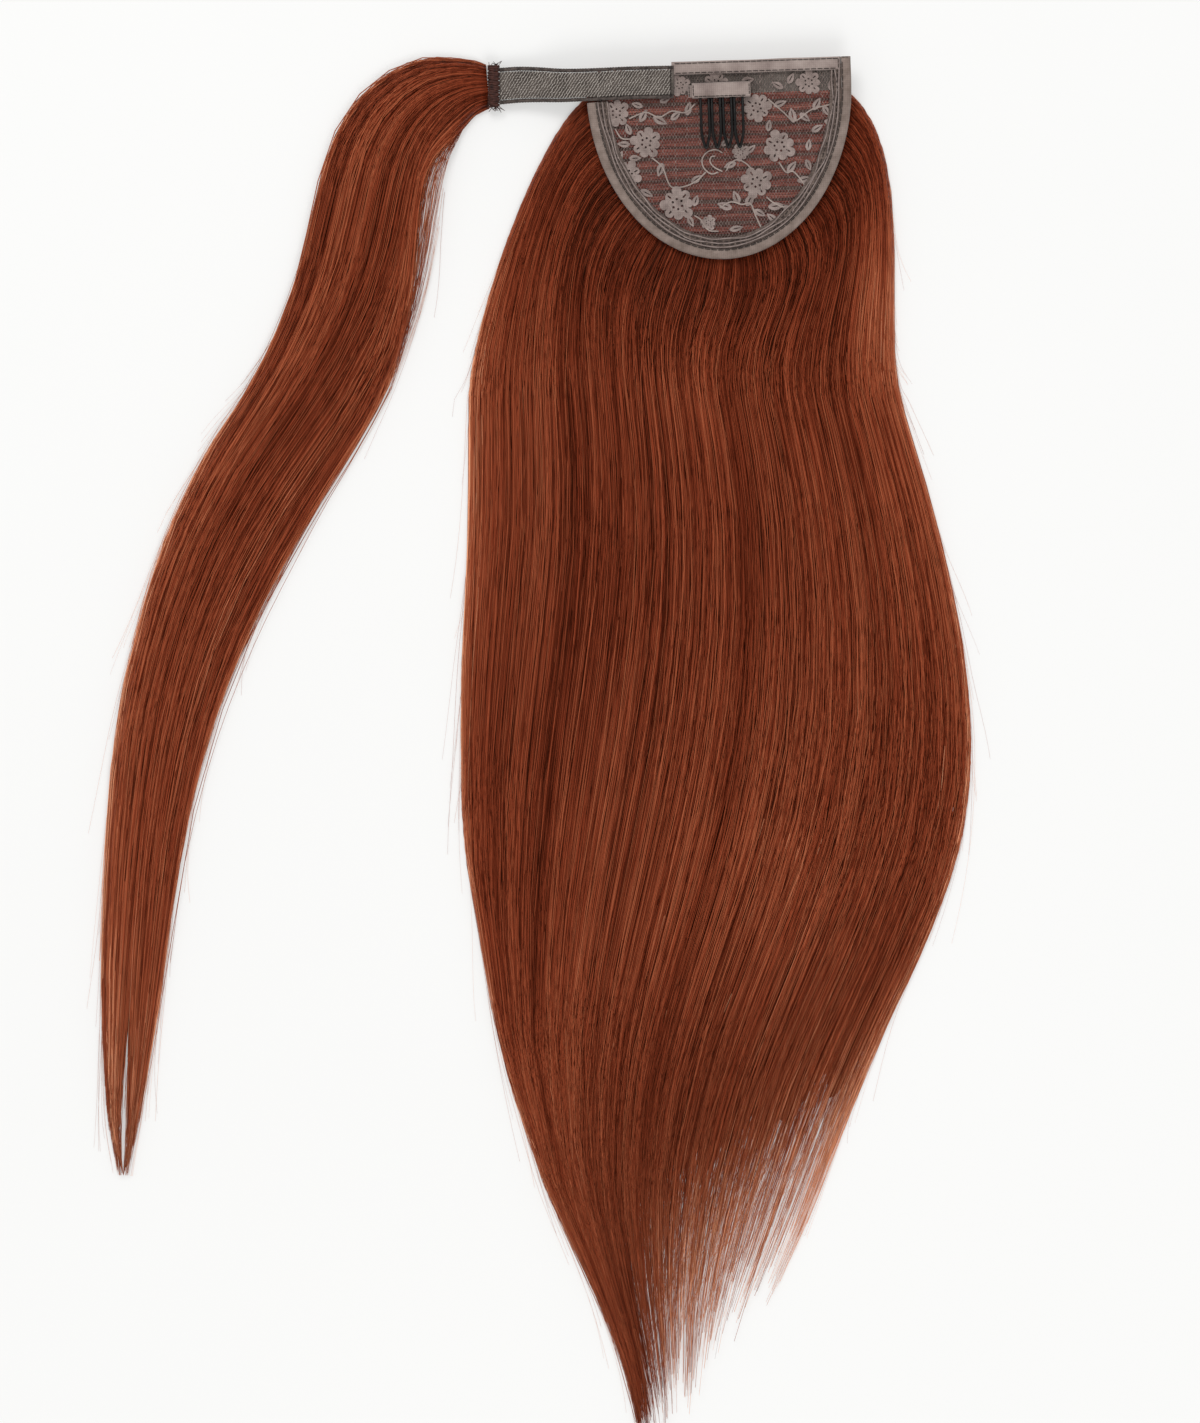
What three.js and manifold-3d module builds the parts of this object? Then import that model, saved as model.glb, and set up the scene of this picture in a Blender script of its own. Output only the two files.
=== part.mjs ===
// A wrap-round ponytail hairpiece lying on a table, inner side of its cap up. Millimetres, +Z up, the
// table is z = 0. A half-round lace cap carries rows of weft whose hair fans out from under it into one
// long tail. A hook-and-loop strap leaves the cap's top edge to the left, and a second, slimmer lock of
// hair is sewn to its free end. The lengths below are laid out from the middle of the cap's top edge,
// with +Y towards that edge.
import * as THREE from 'three';
import { mergeVertices } from 'three/addons/utils/BufferGeometryUtils.js';
import Module from 'manifold-3d';

// Gaps that keep neighbouring pieces apart, and how thick the cloths are
const GAP = 0.3;
const TAPE_WALL = 1.0;
const LACE_WALL = 1.0;

// The cap: a straight top edge, two short straight sides and half an ellipse
const CAP_WIDTH = 111;
const CAP_SIDE = 10;
const CAP_ARC_DEPTH = 73;
const CAP_TURN_DEG = 1.9;
const BINDING_WIDTH = 4.6;
const SEAM_WIDTH = 2.8;
const SEAM_THICK = 1.0;
const TOP_BAND_WIDTH = 5.4;
const BINDING_START_GAP = 0.6;
const CAP_STEPS = 36;
const BACKING_STEPS = 18;

// What is sewn under the cap
const WEBBING_WIDTH = 8;
const WEBBING_END_INSET = 4;
const WEFT_ROWS = 13;
const WEFT_WIDTH = 2.2;
const WEFT_THICK = 1.0;
const WEFT_END_INSET = 5;
const WEFT_LAST_INSET = 7;
const HAIR_UNDER_CAP = 9;

// The comb and the folded tape that holds its spine
const COMB_WIRE = 1.0;
const COMB_LOOPS = 4;
const COMB_PITCH = 4.7;
const COMB_TOOTH_LENGTH = 21;
const COMB_TOOTH_BOW = 1.1;
const COMB_LEG_SPLIT = 1.2;
const COMB_STEPS = 22;
const WIRE_SIDES = 6;
const SLEEVE_END_SPARE = 2.3;
const SLEEVE_WIDTH = 6.4;
const SLEEVE_BELOW_BAND = 3.8;
const SLEEVE_FROM_STRAP = 7.2;

// The strap: loop cloth with a narrow overlocked edging of wound thread along each side
const STRAP_FREE = 36;
const STRAP_LAP = 37;
const STRAP_WIDTH_AT_LOCK = 15.4;
const STRAP_WIDTH_ON_CAP = 13.8;
const STRAP_CLOTH = 1.2;
const STRAP_EDGING = 1.6;
const STRAP_EDGING_THICK = 1.8;
const STRAP_EDGING_ROUND = 0.45;
const STRAP_TOP_DROP = 2.1;

// The sewn weft head that joins the wrap lock to the strap
const HEAD_LENGTH = 4.4;
const HEAD_WIDTH = 18;
const HEAD_THICK = 3.4;
const HEAD_MID_Z = 4.2;

// The tail: how far its longest hair reaches below the cap's top edge, half its fullest width, and its
// depth
const TAIL_REACH = 566;
const TAIL_HALF_WIDTH = 108;
const TAIL_DEPTH = 11.5;
const TAIL_LOCKS = 11;
const TAIL_STATIONS = 12;
const TAIL_EXIT_PULL = 62;
const TAIL_CORNER_PULL = 44;
const TAIL_SHEET_PULL = 95;
const TAIL_EDGE_THINNING = 0.45;
const WRAP_EDGE_THINNING = 0.5;

// The wrap lock: how far it runs to the left of its head and down from it, its fullest width and its depth
const WRAP_ACROSS = 153;
const WRAP_DOWN = 457;
const WRAP_WIDTH = 53;
const WRAP_DEPTH = 10.5;
const WRAP_LOCKS = 5;
const WRAP_STATIONS = 21;
const WRAP_PARTING = 3.5;
const WRAP_PARTS_AT = 0.88;
const WRAP_NOTCH = 0.96;

// A lock's width over the distance to the next one's middle, so that each runs into the next, and its
// least size
const LOCK_LAP = 1.5;
const LOCK_LEAST_WIDTH = 3;
const LOCK_LEAST_DEPTH = 1.4;
const LOCK_TIP = 0.4;
const LOCK_ROOT_INSIDE = 2;

// The tail below the shoulders: down is a share of TAIL_REACH, left and right of TAIL_HALF_WIDTH, depth
// of TAIL_DEPTH
const TAIL_SECTIONS = [
  { down: 0.25, left: -0.97, right: 0.72, depth: 1.0 },
  { down: 0.36, left: -0.98, right: 0.88, depth: 0.95 },
  { down: 0.45, left: -1.0, right: 0.97, depth: 0.9 },
  { down: 0.51, left: -1.0, right: 0.99, depth: 0.85 },
  { down: 0.57, left: -0.99, right: 0.96, depth: 0.8 },
  { down: 0.66, left: -0.91, right: 0.8, depth: 0.72 },
  { down: 0.72, left: -0.85, right: 0.65, depth: 0.66 },
  { down: 0.79, left: -0.75, right: 0.5, depth: 0.58 },
  { down: 0.84, left: -0.67, right: 0.4, depth: 0.5 },
  { down: 0.88, left: -0.56, right: 0.31, depth: 0.42 },
  { down: 0.925, left: -0.46, right: 0.2, depth: 0.32 },
  { down: 0.97, left: -0.36, right: 0.13, depth: 0.22 },
  { down: 1.0, left: -0.3, right: 0.07, depth: 0.14 },
];

// Where the hair ends: across is 0 at the tail's left edge and 1 at its right, down a share of TAIL_REACH
const TAIL_ENDS = [
  { across: 0, down: 1.0 },
  { across: 0.2, down: 0.99 },
  { across: 0.4, down: 0.965 },
  { across: 0.6, down: 0.945 },
  { across: 0.8, down: 0.92 },
  { across: 0.9, down: 0.89 },
  { across: 1, down: 0.86 },
];

// The wrap lock from its head to its tip: left is a share of WRAP_ACROSS, down of WRAP_DOWN, width and
// depth of theirs
const WRAP_SECTIONS = [
  { left: 0, down: 0, width: 0.33, depth: 0.72 },
  { left: 0.066, down: 0.002, width: 0.48, depth: 0.8 },
  { left: 0.149, down: 0.014, width: 0.72, depth: 0.88 },
  { left: 0.225, down: 0.04, width: 0.88, depth: 0.94 },
  { left: 0.275, down: 0.077, width: 0.96, depth: 1.0 },
  { left: 0.309, down: 0.13, width: 1.0, depth: 1.0 },
  { left: 0.349, down: 0.186, width: 1.0, depth: 1.0 },
  { left: 0.42, down: 0.247, width: 0.98, depth: 0.97 },
  { left: 0.507, down: 0.302, width: 0.95, depth: 0.95 },
  { left: 0.61, down: 0.355, width: 0.96, depth: 0.94 },
  { left: 0.7, down: 0.41, width: 0.94, depth: 0.92 },
  { left: 0.773, down: 0.464, width: 0.88, depth: 0.9 },
  { left: 0.831, down: 0.518, width: 0.81, depth: 0.86 },
  { left: 0.88, down: 0.575, width: 0.74, depth: 0.82 },
  { left: 0.919, down: 0.64, width: 0.66, depth: 0.76 },
  { left: 0.952, down: 0.72, width: 0.56, depth: 0.68 },
  { left: 0.973, down: 0.805, width: 0.48, depth: 0.6 },
  { left: 0.99, down: 0.885, width: 0.36, depth: 0.46 },
  { left: 1.0, down: 0.95, width: 0.24, depth: 0.3 },
  { left: 1.0, down: 1.0, width: 0.1, depth: 0.16 },
];

// One lock's cross-section, flat underneath: across is a share of its width, up a share of its depth
const LOCK_SECTION = [
  { across: 0.5, up: 0 },
  { across: -0.5, up: 0 },
  { across: -0.4, up: 0.68 },
  { across: 0, up: 1 },
  { across: 0.4, up: 0.68 },
];

// The strap's route from its lock end to its end on the cap: along is a share of its whole length, side a
// shift in Y, fall how far it has come down from the cap towards the head, as a share of that drop
const STRAP_ROUTE = [
  { along: 0, side: -1.1, fall: 1.0 },
  { along: 0.12, side: -0.5, fall: 0.93 },
  { along: 0.24, side: -0.7, fall: 0.7 },
  { along: 0.34, side: -1.2, fall: 0.34 },
  { along: 0.43, side: -1.3, fall: 0.08 },
  { along: 0.49, side: -1.2, fall: 0 },
  { along: 0.75, side: -0.4, fall: 0 },
  { along: 1, side: 0, fall: 0 },
];

// Where the tail's stations lie on the shoulder, as shares of its curve, and the stretch over which it
// swells
const SHOULDER_SHARES = [0, 0.12, 0.25, 0.42, 0.62, 0.82];
const SWELL = { from: 0.12, to: 0.62 };

const FINISHES = {
  tape: { color: 0x86756e, roughness: 0.9, metalness: 0 },
  lace: { color: 0x735d57, roughness: 0.85, metalness: 0 },
  loop: { color: 0x6f675f, roughness: 0.95, metalness: 0 },
  edging: { color: 0x544b47, roughness: 0.85, metalness: 0 },
  webbing: { color: 0x5d534e, roughness: 0.85, metalness: 0 },
  thread: { color: 0x3a211b, roughness: 0.7, metalness: 0 },
  weft: { color: 0x5a2c20, roughness: 0.7, metalness: 0 },
  wire: { color: 0x1d1a1a, roughness: 0.4, metalness: 0.5 },
  hair: { color: 0x6e3422, roughness: 0.45, metalness: 0 },
};

// Heights that follow from the stack of layers
const weftBottom = HAIR_UNDER_CAP + GAP;
const laceBottom = weftBottom + WEFT_THICK + GAP;
const laceTop = laceBottom + LACE_WALL;
const onLace = laceTop + GAP;
const bindingProud = GAP + TAPE_WALL;

// Places that several pieces share
const capTurn = THREE.MathUtils.degToRad(CAP_TURN_DEG);
const bandBottom = -TOP_BAND_WIDTH - GAP;
const strapEndX = -CAP_WIDTH / 2 + STRAP_LAP;
const strapLength = STRAP_FREE + STRAP_LAP;
const strapLeft = strapEndX - strapLength;
const strapMidY = -STRAP_TOP_DROP - STRAP_WIDTH_ON_CAP / 2;

const wasm = await Module();
wasm.setup();

// Mesh helpers

function piece(name, geometry, finish) {
  const mesh = new THREE.Mesh(geometry, new THREE.MeshStandardMaterial(FINISHES[finish]));
  mesh.name = name;
  return mesh;
}

// A closed body through like rings of points. Each ring runs anticlockwise seen against the way the rings
// follow.
function loft(rings) {
  const count = rings[0].length;
  const positions = rings.flat().flatMap((p) => [p.x, p.y, p.z]);
  const index = [];
  for (let r = 0; r + 1 < rings.length; r += 1) {
    for (let i = 0; i < count; i += 1) {
      const a = r * count + i;
      const b = r * count + ((i + 1) % count);
      index.push(a, b, b + count, a, b + count, a + count);
    }
  }
  const last = (rings.length - 1) * count;
  for (const [a, b, c] of capTriangles(rings[0])) index.push(a, c, b);
  for (const [a, b, c] of capTriangles(rings[rings.length - 1])) index.push(last + a, last + b, last + c);
  const geometry = new THREE.BufferGeometry();
  geometry.setAttribute('position', new THREE.Float32BufferAttribute(positions, 3));
  geometry.setIndex(index);
  geometry.computeVertexNormals();
  return geometry;
}

// The triangles that close a flat ring, found in the ring's own plane.
function capTriangles(ring) {
  const normal = new THREE.Vector3();
  ring.forEach((p, i) => normal.add(new THREE.Vector3().crossVectors(p, ring[(i + 1) % ring.length])));
  const turn = new THREE.Quaternion().setFromUnitVectors(normal.normalize(), new THREE.Vector3(0, 0, 1));
  const flat = ring.map((p) => p.clone().applyQuaternion(turn)).map((p) => new THREE.Vector2(p.x, p.y));
  return THREE.ShapeUtils.triangulateShape(flat, []);
}

function solidOf(geometry) {
  const bare = new THREE.BufferGeometry();
  bare.setAttribute('position', geometry.getAttribute('position').clone());
  bare.setIndex(geometry.index ? geometry.index.clone() : null);
  const merged = mergeVertices(bare, 1e-4);
  return new wasm.Manifold(new wasm.Mesh({
    numProp: 3,
    vertProperties: new Float32Array(merged.getAttribute('position').array),
    triVerts: new Uint32Array(merged.index.array),
  }));
}

function geometryOf(solid) {
  const mesh = solid.getMesh();
  const geometry = new THREE.BufferGeometry();
  geometry.setAttribute('position', new THREE.BufferAttribute(mesh.vertProperties, 3));
  geometry.setIndex(new THREE.BufferAttribute(mesh.triVerts, 1));
  geometry.computeVertexNormals();
  return geometry;
}

function fuse(geometries) {
  return geometryOf(geometries.map(solidOf).reduce((whole, next) => whole.add(next)));
}

function box(x0, x1, y0, y1, z0, z1) {
  const geometry = new THREE.BoxGeometry(x1 - x0, y1 - y0, z1 - z0);
  return geometry.translate((x0 + x1) / 2, (y0 + y1) / 2, (z0 + z1) / 2);
}

// Table helpers: a column's value at a key, straight between its rows
function columnAt(rows, key, column, at) {
  const next = rows.findIndex((row) => row[key] >= at);
  if (next === 0) return rows[0][column];
  if (next < 0) return rows[rows.length - 1][column];
  const [a, b] = [rows[next - 1], rows[next]];
  return THREE.MathUtils.lerp(a[column], b[column], (at - a[key]) / (b[key] - a[key]));
}

// The cap's outline

// A point of the cap's rounded edge, drawn in by an inset: turn is 0 at the left side, 0.5 at the lowest
// point, 1 at the right side. The point's outward direction goes with it.
function capEdge(turn, inset) {
  const angle = Math.PI * (1 + turn);
  const cos = Math.cos(angle);
  const sin = Math.sin(angle);
  const outward = new THREE.Vector2(cos * CAP_ARC_DEPTH, (sin * CAP_WIDTH) / 2).normalize();
  const point = new THREE.Vector2((cos * CAP_WIDTH) / 2, -CAP_SIDE + sin * CAP_ARC_DEPTH);
  return { point: point.addScaledVector(outward, -inset), outward };
}

function capShape(inset, steps) {
  const arc = Array.from({ length: steps + 1 }, (_, i) => capEdge(i / steps, inset).point);
  const half = CAP_WIDTH / 2 - inset;
  return new THREE.Shape([...arc, new THREE.Vector2(half, -inset), new THREE.Vector2(-half, -inset)]);
}

function plate(shape, bottom, thickness) {
  const extrusion = { depth: thickness, bevelEnabled: false };
  return new THREE.ExtrudeGeometry(shape, extrusion).translate(0, 0, bottom);
}

// Half the cap's width at a height below its top edge, inside an inset
function capHalfWidthAt(y, inset) {
  const below = Math.max(0, -y - CAP_SIDE) / (CAP_ARC_DEPTH - inset);
  return below >= 1 ? 0 : (CAP_WIDTH / 2 - inset) * Math.sqrt(1 - below * below);
}

// Tape folded over the edge of a cloth: along each station it is a C that grips the cloth with the gap
// round it. A station has the cloth's edge point, the flat direction out of the cloth, and the cloth's
// lower and upper side.
function foldedTape(stations, reach) {
  return loft(stations.map(({ edge, outward, low, high }) => {
    const at = (out, z) => new THREE.Vector3(edge.x + outward.x * out, edge.y + outward.y * out, z);
    const outer = GAP + TAPE_WALL;
    return [
      at(-reach, low - outer),
      at(-reach, low - GAP),
      at(GAP, low - GAP),
      at(GAP, high + GAP),
      at(-reach, high + GAP),
      at(-reach, high + outer),
      at(outer, high + outer),
      at(outer, low - outer),
    ];
  }));
}

// Cap pieces, in the cap's own frame

const lace = piece('cap_lace', plate(capShape(bindingProud, CAP_STEPS), laceBottom, LACE_WALL), 'lace');

// Where the binding starts on the left: just under the lower edge of the strap, which lies over the cap's
// corner
const strapAtSide = columnAt(STRAP_ROUTE, 'along', 'side', (-CAP_WIDTH / 2 - strapLeft) / strapLength);
const strapCorner = new THREE.Vector2(-CAP_WIDTH / 2, strapMidY + strapAtSide - STRAP_WIDTH_AT_LOCK / 2);
const underStrap = strapCorner.rotateAround(new THREE.Vector2(), -capTurn).y - BINDING_START_GAP;

// Stations along the cap's edge, from under the strap, round the arc and up to the top band
function edgeStations(inset) {
  const arc = Array.from({ length: CAP_STEPS + 1 }, (_, i) => capEdge(i / CAP_STEPS, inset))
    .filter(({ point, outward }) => outward.x > 0 || point.y < underStrap);
  const start = {
    point: new THREE.Vector2(-capHalfWidthAt(underStrap, inset), underStrap),
    outward: arc[0].outward,
  };
  const end = {
    point: new THREE.Vector2(CAP_WIDTH / 2 - inset, bandBottom),
    outward: new THREE.Vector2(1, 0),
  };
  return [start, ...arc, end];
}

const binding = piece('edge_binding', foldedTape(
  edgeStations(bindingProud).map(({ point, outward }) => (
    { edge: point, outward, low: laceBottom, high: laceTop })),
  BINDING_WIDTH - bindingProud,
), 'tape');

// The lace's turned-in edge shows as a low ridge inside the binding.
function seamRidge() {
  return loft(edgeStations(BINDING_WIDTH + GAP).map(({ point, outward }) => {
    const at = (out, z) => new THREE.Vector3(point.x + outward.x * out, point.y + outward.y * out, z);
    return [
      at(-SEAM_WIDTH, onLace),
      at(-SEAM_WIDTH / 2, onLace + SEAM_THICK),
      at(0, onLace + SEAM_THICK),
      at(0, onLace),
    ];
  }));
}
const seam = piece('cap_seam', seamRidge(), 'lace');

// The top band is the same tape folded over the straight top edge, from the right side to the strap's end.
const topBand = piece('top_band', foldedTape([CAP_WIDTH / 2, strapEndX + GAP].map((x) => ({
  edge: new THREE.Vector2(x, -bindingProud),
  outward: new THREE.Vector2(0, 1),
  low: laceBottom,
  high: laceTop,
})), TOP_BAND_WIDTH - bindingProud), 'tape');

// Elastic webbing under the lace, along the top edge and clear of the binding's and the band's lower lips
const webbingHalf = CAP_WIDTH / 2 - BINDING_WIDTH - WEBBING_END_INSET;
const webbingBottom = bandBottom - WEBBING_WIDTH;
const webbing = piece('top_webbing', box(
  -webbingHalf, webbingHalf, webbingBottom, bandBottom, weftBottom, weftBottom + WEFT_THICK,
), 'webbing');

// Wefts: rows of machine-sewn hair track under the lace, evenly spaced down it and each as wide as the
// cap is there
function weftRow(order) {
  const first = webbingBottom - GAP - WEFT_WIDTH;
  const last = -CAP_SIDE - CAP_ARC_DEPTH + BINDING_WIDTH + WEFT_LAST_INSET;
  const y = THREE.MathUtils.lerp(first, last, order / (WEFT_ROWS - 1));
  const half = capHalfWidthAt(y, BINDING_WIDTH + GAP) - WEFT_END_INSET;
  const track = box(-half, half, y, y + WEFT_WIDTH, weftBottom, weftBottom + WEFT_THICK);
  return piece(`weft_row_${String(order + 1).padStart(2, '0')}`, track, 'weft');
}
const wefts = Array.from({ length: WEFT_ROWS }, (_, i) => weftRow(i));

// The comb's spine lies in its sleeve. Each tooth is a narrow wire loop, and two loops stand leg to leg.
const sleeveTopY = -TOP_BAND_WIDTH - SLEEVE_BELOW_BAND;
const sleeveMouthY = sleeveTopY - SLEEVE_WIDTH;
const sleeveLeft = strapEndX + SLEEVE_FROM_STRAP;
const combHalf = (COMB_LOOPS * COMB_PITCH + COMB_WIRE) / 2;
const combMidX = sleeveLeft + SLEEVE_END_SPARE + combHalf;
const combZ = onLace + TAPE_WALL + GAP + COMB_WIRE / 2;
const spineY = sleeveTopY - TAPE_WALL - GAP - COMB_WIRE / 2;

function wire(curve, steps) {
  const round = new THREE.Shape(Array.from({ length: WIRE_SIDES }, (_, i) => {
    const angle = (2 * Math.PI * i) / WIRE_SIDES;
    return new THREE.Vector2(Math.cos(angle), Math.sin(angle)).multiplyScalar(COMB_WIRE / 2);
  }));
  return new THREE.ExtrudeGeometry(round, { extrudePath: curve, steps, bevelEnabled: false });
}

function combTooth(middle) {
  const LEG_POINTS = 6;
  const TIP_POINTS = 5;
  const legOffset = (COMB_PITCH - COMB_LEG_SPLIT * COMB_WIRE) / 2;
  const bottom = sleeveMouthY - COMB_TOOTH_LENGTH + legOffset;
  const out = (y) => THREE.MathUtils.clamp((sleeveMouthY - y) / COMB_TOOTH_LENGTH, 0, 1);
  const height = (y) => combZ + COMB_TOOTH_BOW * Math.sin(Math.PI * out(y));
  const at = (x, y) => new THREE.Vector3(middle + x, y, height(y));
  const leg = Array.from(
    { length: LEG_POINTS }, (_, i) => THREE.MathUtils.lerp(spineY, bottom, i / (LEG_POINTS - 1)));
  const tip = Array.from({ length: TIP_POINTS }, (_, i) => Math.PI * (1 + (i + 1) / (TIP_POINTS + 1)));
  const points = [
    ...leg.map((y) => at(-legOffset, y)),
    ...tip.map((angle) => at(legOffset * Math.cos(angle), bottom + legOffset * Math.sin(angle))),
    ...leg.reverse().map((y) => at(legOffset, y)),
  ];
  return wire(new THREE.CatmullRomCurve3(points), COMB_STEPS);
}

function combGeometry() {
  const spineEnds = [-combHalf, combHalf].map((x) => new THREE.Vector3(combMidX + x, spineY, combZ));
  const middles = Array.from(
    { length: COMB_LOOPS }, (_, i) => combMidX + (i - (COMB_LOOPS - 1) / 2) * COMB_PITCH);
  return fuse([wire(new THREE.LineCurve3(...spineEnds), 1), ...middles.map(combTooth)]);
}
const comb = piece('comb', combGeometry(), 'wire');

// The sleeve is tape folded round the spine: closed along its top, open where the teeth come out.
function sleeveGeometry() {
  const low = onLace + TAPE_WALL;
  const high = low + COMB_WIRE + 2 * GAP;
  const outline = [
    { y: sleeveMouthY, z: onLace },
    { y: sleeveTopY, z: onLace },
    { y: sleeveTopY, z: high + TAPE_WALL },
    { y: sleeveMouthY, z: high + TAPE_WALL },
    { y: sleeveMouthY, z: high },
    { y: sleeveTopY - TAPE_WALL, z: high },
    { y: sleeveTopY - TAPE_WALL, z: low },
    { y: sleeveMouthY, z: low },
  ];
  const sleeveRight = combMidX + combHalf + SLEEVE_END_SPARE;
  return loft([sleeveLeft, sleeveRight].map((x) => outline.map(({ y, z }) => new THREE.Vector3(x, y, z))));
}
const sleeve = piece('comb_sleeve', sleeveGeometry(), 'tape');

const cap = new THREE.Group();
cap.add(lace, binding, seam, topBand, webbing, ...wefts, sleeve, comb);
cap.rotation.z = capTurn;

// Strap pieces, in the table's frame

const strapOnCap = onLace + (STRAP_EDGING_THICK - STRAP_CLOTH) / 2;
const strapAtHead = HEAD_MID_Z - STRAP_CLOTH / 2;

// A station of the strap: its middle line, its half width and the height of its underside
function strapStation({ along, side, fall }) {
  const width = THREE.MathUtils.lerp(STRAP_WIDTH_AT_LOCK, STRAP_WIDTH_ON_CAP, along);
  return {
    x: strapLeft + along * strapLength,
    y: strapMidY + side,
    halfWidth: width / 2,
    low: THREE.MathUtils.lerp(strapOnCap, strapAtHead, fall),
  };
}
const strapStations = STRAP_ROUTE.map(strapStation);

const strap = piece('strap', loft(strapStations.map(({ x, y, halfWidth, low }) => {
  const cloth = halfWidth - STRAP_EDGING;
  return [
    new THREE.Vector3(x, y - cloth, low),
    new THREE.Vector3(x, y + cloth, low),
    new THREE.Vector3(x, y + cloth, low + STRAP_CLOTH),
    new THREE.Vector3(x, y - cloth, low + STRAP_CLOTH),
  ];
})), 'loop');

function strapEdging(name, sign) {
  const along = sign > 0 ? [...strapStations].reverse() : strapStations;
  const thickHalf = STRAP_EDGING_THICK / 2;
  return piece(name, loft(along.map(({ x, y, halfWidth, low }) => {
    const at = (out, up) => new THREE.Vector3(x, y + sign * out, low + STRAP_CLOTH / 2 + up);
    const inner = halfWidth - STRAP_EDGING + GAP;
    return [
      at(inner, -thickHalf),
      at(inner, thickHalf),
      at(halfWidth - STRAP_EDGING_ROUND, thickHalf),
      at(halfWidth, thickHalf - STRAP_EDGING_ROUND),
      at(halfWidth, STRAP_EDGING_ROUND - thickHalf),
      at(halfWidth - STRAP_EDGING_ROUND, -thickHalf),
    ];
  })), 'edging');
}

// The weft head: the sewn root of the wrap lock, against the strap's free end
const headRight = strapLeft - GAP;
const headLeft = headRight - HEAD_LENGTH;
const headY = strapMidY + STRAP_ROUTE[0].side;
const head = piece('wrap_weft_head', box(
  headLeft, headRight, headY - HEAD_WIDTH / 2, headY + HEAD_WIDTH / 2,
  HEAD_MID_Z - HEAD_THICK / 2, HEAD_MID_Z + HEAD_THICK / 2,
), 'thread');

// Hair locks

// A lock along stations of { point, side, width, depth }: a flat-bottomed crowned strip that lies on the
// table
function lockGeometry(stations) {
  const sections = stations.map(({ point, side, width, depth }) => LOCK_SECTION.map(
    ({ across, up }) => new THREE.Vector3(
      point.x + side.x * across * width,
      point.y + side.y * across * width,
      up * depth,
    ),
  ));
  return loft(sections);
}

// Where a lock lies across the hair, and half of how much of it the lock takes up: together they fill 0
// to 1
function lockShare(order, count) {
  const whole = count - 1 + LOCK_LAP;
  return { across: (order + LOCK_LAP / 2) / whole, half: LOCK_LAP / 2 / whole };
}

// Station shares of a lock, 0 to 1. Every other lock has them half a step on, so that no two sections
// share a plane.
function lockStations(order, count) {
  const shift = (order % 2) / 2;
  const between = Array.from({ length: count - 2 }, (_, i) => (i + 0.75 + shift) / (count - 1));
  return [0, ...between, 1];
}

// The direction to a path's own right at each of its points, seen from above
function sidesOf(points) {
  return points.map((_, i) => {
    const before = points[Math.max(0, i - 1)];
    const after = points[Math.min(points.length - 1, i + 1)];
    const ahead = after.clone().sub(before).normalize();
    return new THREE.Vector2(ahead.y, -ahead.x);
  });
}

// The tail

const originXY = new THREE.Vector2();
const sheetStart = TAIL_SECTIONS[0].down;

// A point of the tail below the shoulders, at a share across it and a share of its reach
function sheetPoint(across, down) {
  const left = columnAt(TAIL_SECTIONS, 'down', 'left', down);
  const right = columnAt(TAIL_SECTIONS, 'down', 'right', down);
  return new THREE.Vector2(THREE.MathUtils.lerp(left, right, across) * TAIL_HALF_WIDTH, -down * TAIL_REACH);
}

// Hair leaves the cap square to its edge, then bends over the shoulder into the sheet: a Hermite curve.
function shoulderPoint(across, share) {
  const exit = capEdge(across, BINDING_WIDTH + LOCK_ROOT_INSIDE);
  const start = exit.point.rotateAround(originXY, capTurn);
  const pull = THREE.MathUtils.lerp(TAIL_EXIT_PULL, TAIL_CORNER_PULL, Math.abs(2 * across - 1) ** 3);
  const out = exit.outward.rotateAround(originXY, capTurn).multiplyScalar(pull);
  const end = sheetPoint(across, sheetStart);
  const onward = new THREE.Vector2(0, -TAIL_SHEET_PULL);
  const s = share;
  return start.multiplyScalar(2 * s ** 3 - 3 * s ** 2 + 1)
    .addScaledVector(out, s ** 3 - 2 * s ** 2 + s)
    .addScaledVector(end, -2 * s ** 3 + 3 * s ** 2)
    .addScaledVector(onward, s ** 3 - s ** 2);
}

function tailLock(order) {
  const { across, half } = lockShare(order, TAIL_LOCKS);
  const endDown = columnAt(TAIL_ENDS, 'across', 'down', across);
  const spots = SHOULDER_SHARES.map(
    (share) => ({ share, down: sheetStart, at: (u) => shoulderPoint(u, share) }));
  for (const station of lockStations(order, TAIL_STATIONS)) {
    const down = THREE.MathUtils.lerp(sheetStart, endDown, station);
    spots.push({ share: 1, down, at: (u) => sheetPoint(u, down) });
  }
  const points = spots.map(({ at }) => at(across));
  const sides = sidesOf(points);
  const crown = 1 - TAIL_EDGE_THINNING * (2 * across - 1) ** 2;
  return lockGeometry(spots.map(({ share, down, at }, i) => {
    const full = columnAt(TAIL_SECTIONS, 'down', 'depth', down) * TAIL_DEPTH * crown;
    const swell = THREE.MathUtils.clamp((share - SWELL.from) / (SWELL.to - SWELL.from), 0, 1);
    const depth = THREE.MathUtils.lerp(Math.min(HAIR_UNDER_CAP - GAP, full), full, swell);
    const ending = i === spots.length - 1 ? LOCK_TIP : 1;
    return {
      point: points[i],
      side: sides[i],
      width: Math.max(LOCK_LEAST_WIDTH, at(across + half).distanceTo(at(across - half))) * ending,
      depth: Math.max(LOCK_LEAST_DEPTH, depth) * ending,
    };
  }));
}

// Hair from every weft row lies gathered under the cap, and the locks grow out of it.
function tailBacking() {
  return plate(capShape(BINDING_WIDTH, BACKING_STEPS), 0, HAIR_UNDER_CAP).rotateZ(capTurn);
}
const tail = piece('tail_hair', fuse([
  tailBacking(),
  ...Array.from({ length: TAIL_LOCKS }, (_, i) => tailLock(i)),
]), 'hair');

// The wrap lock

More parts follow.
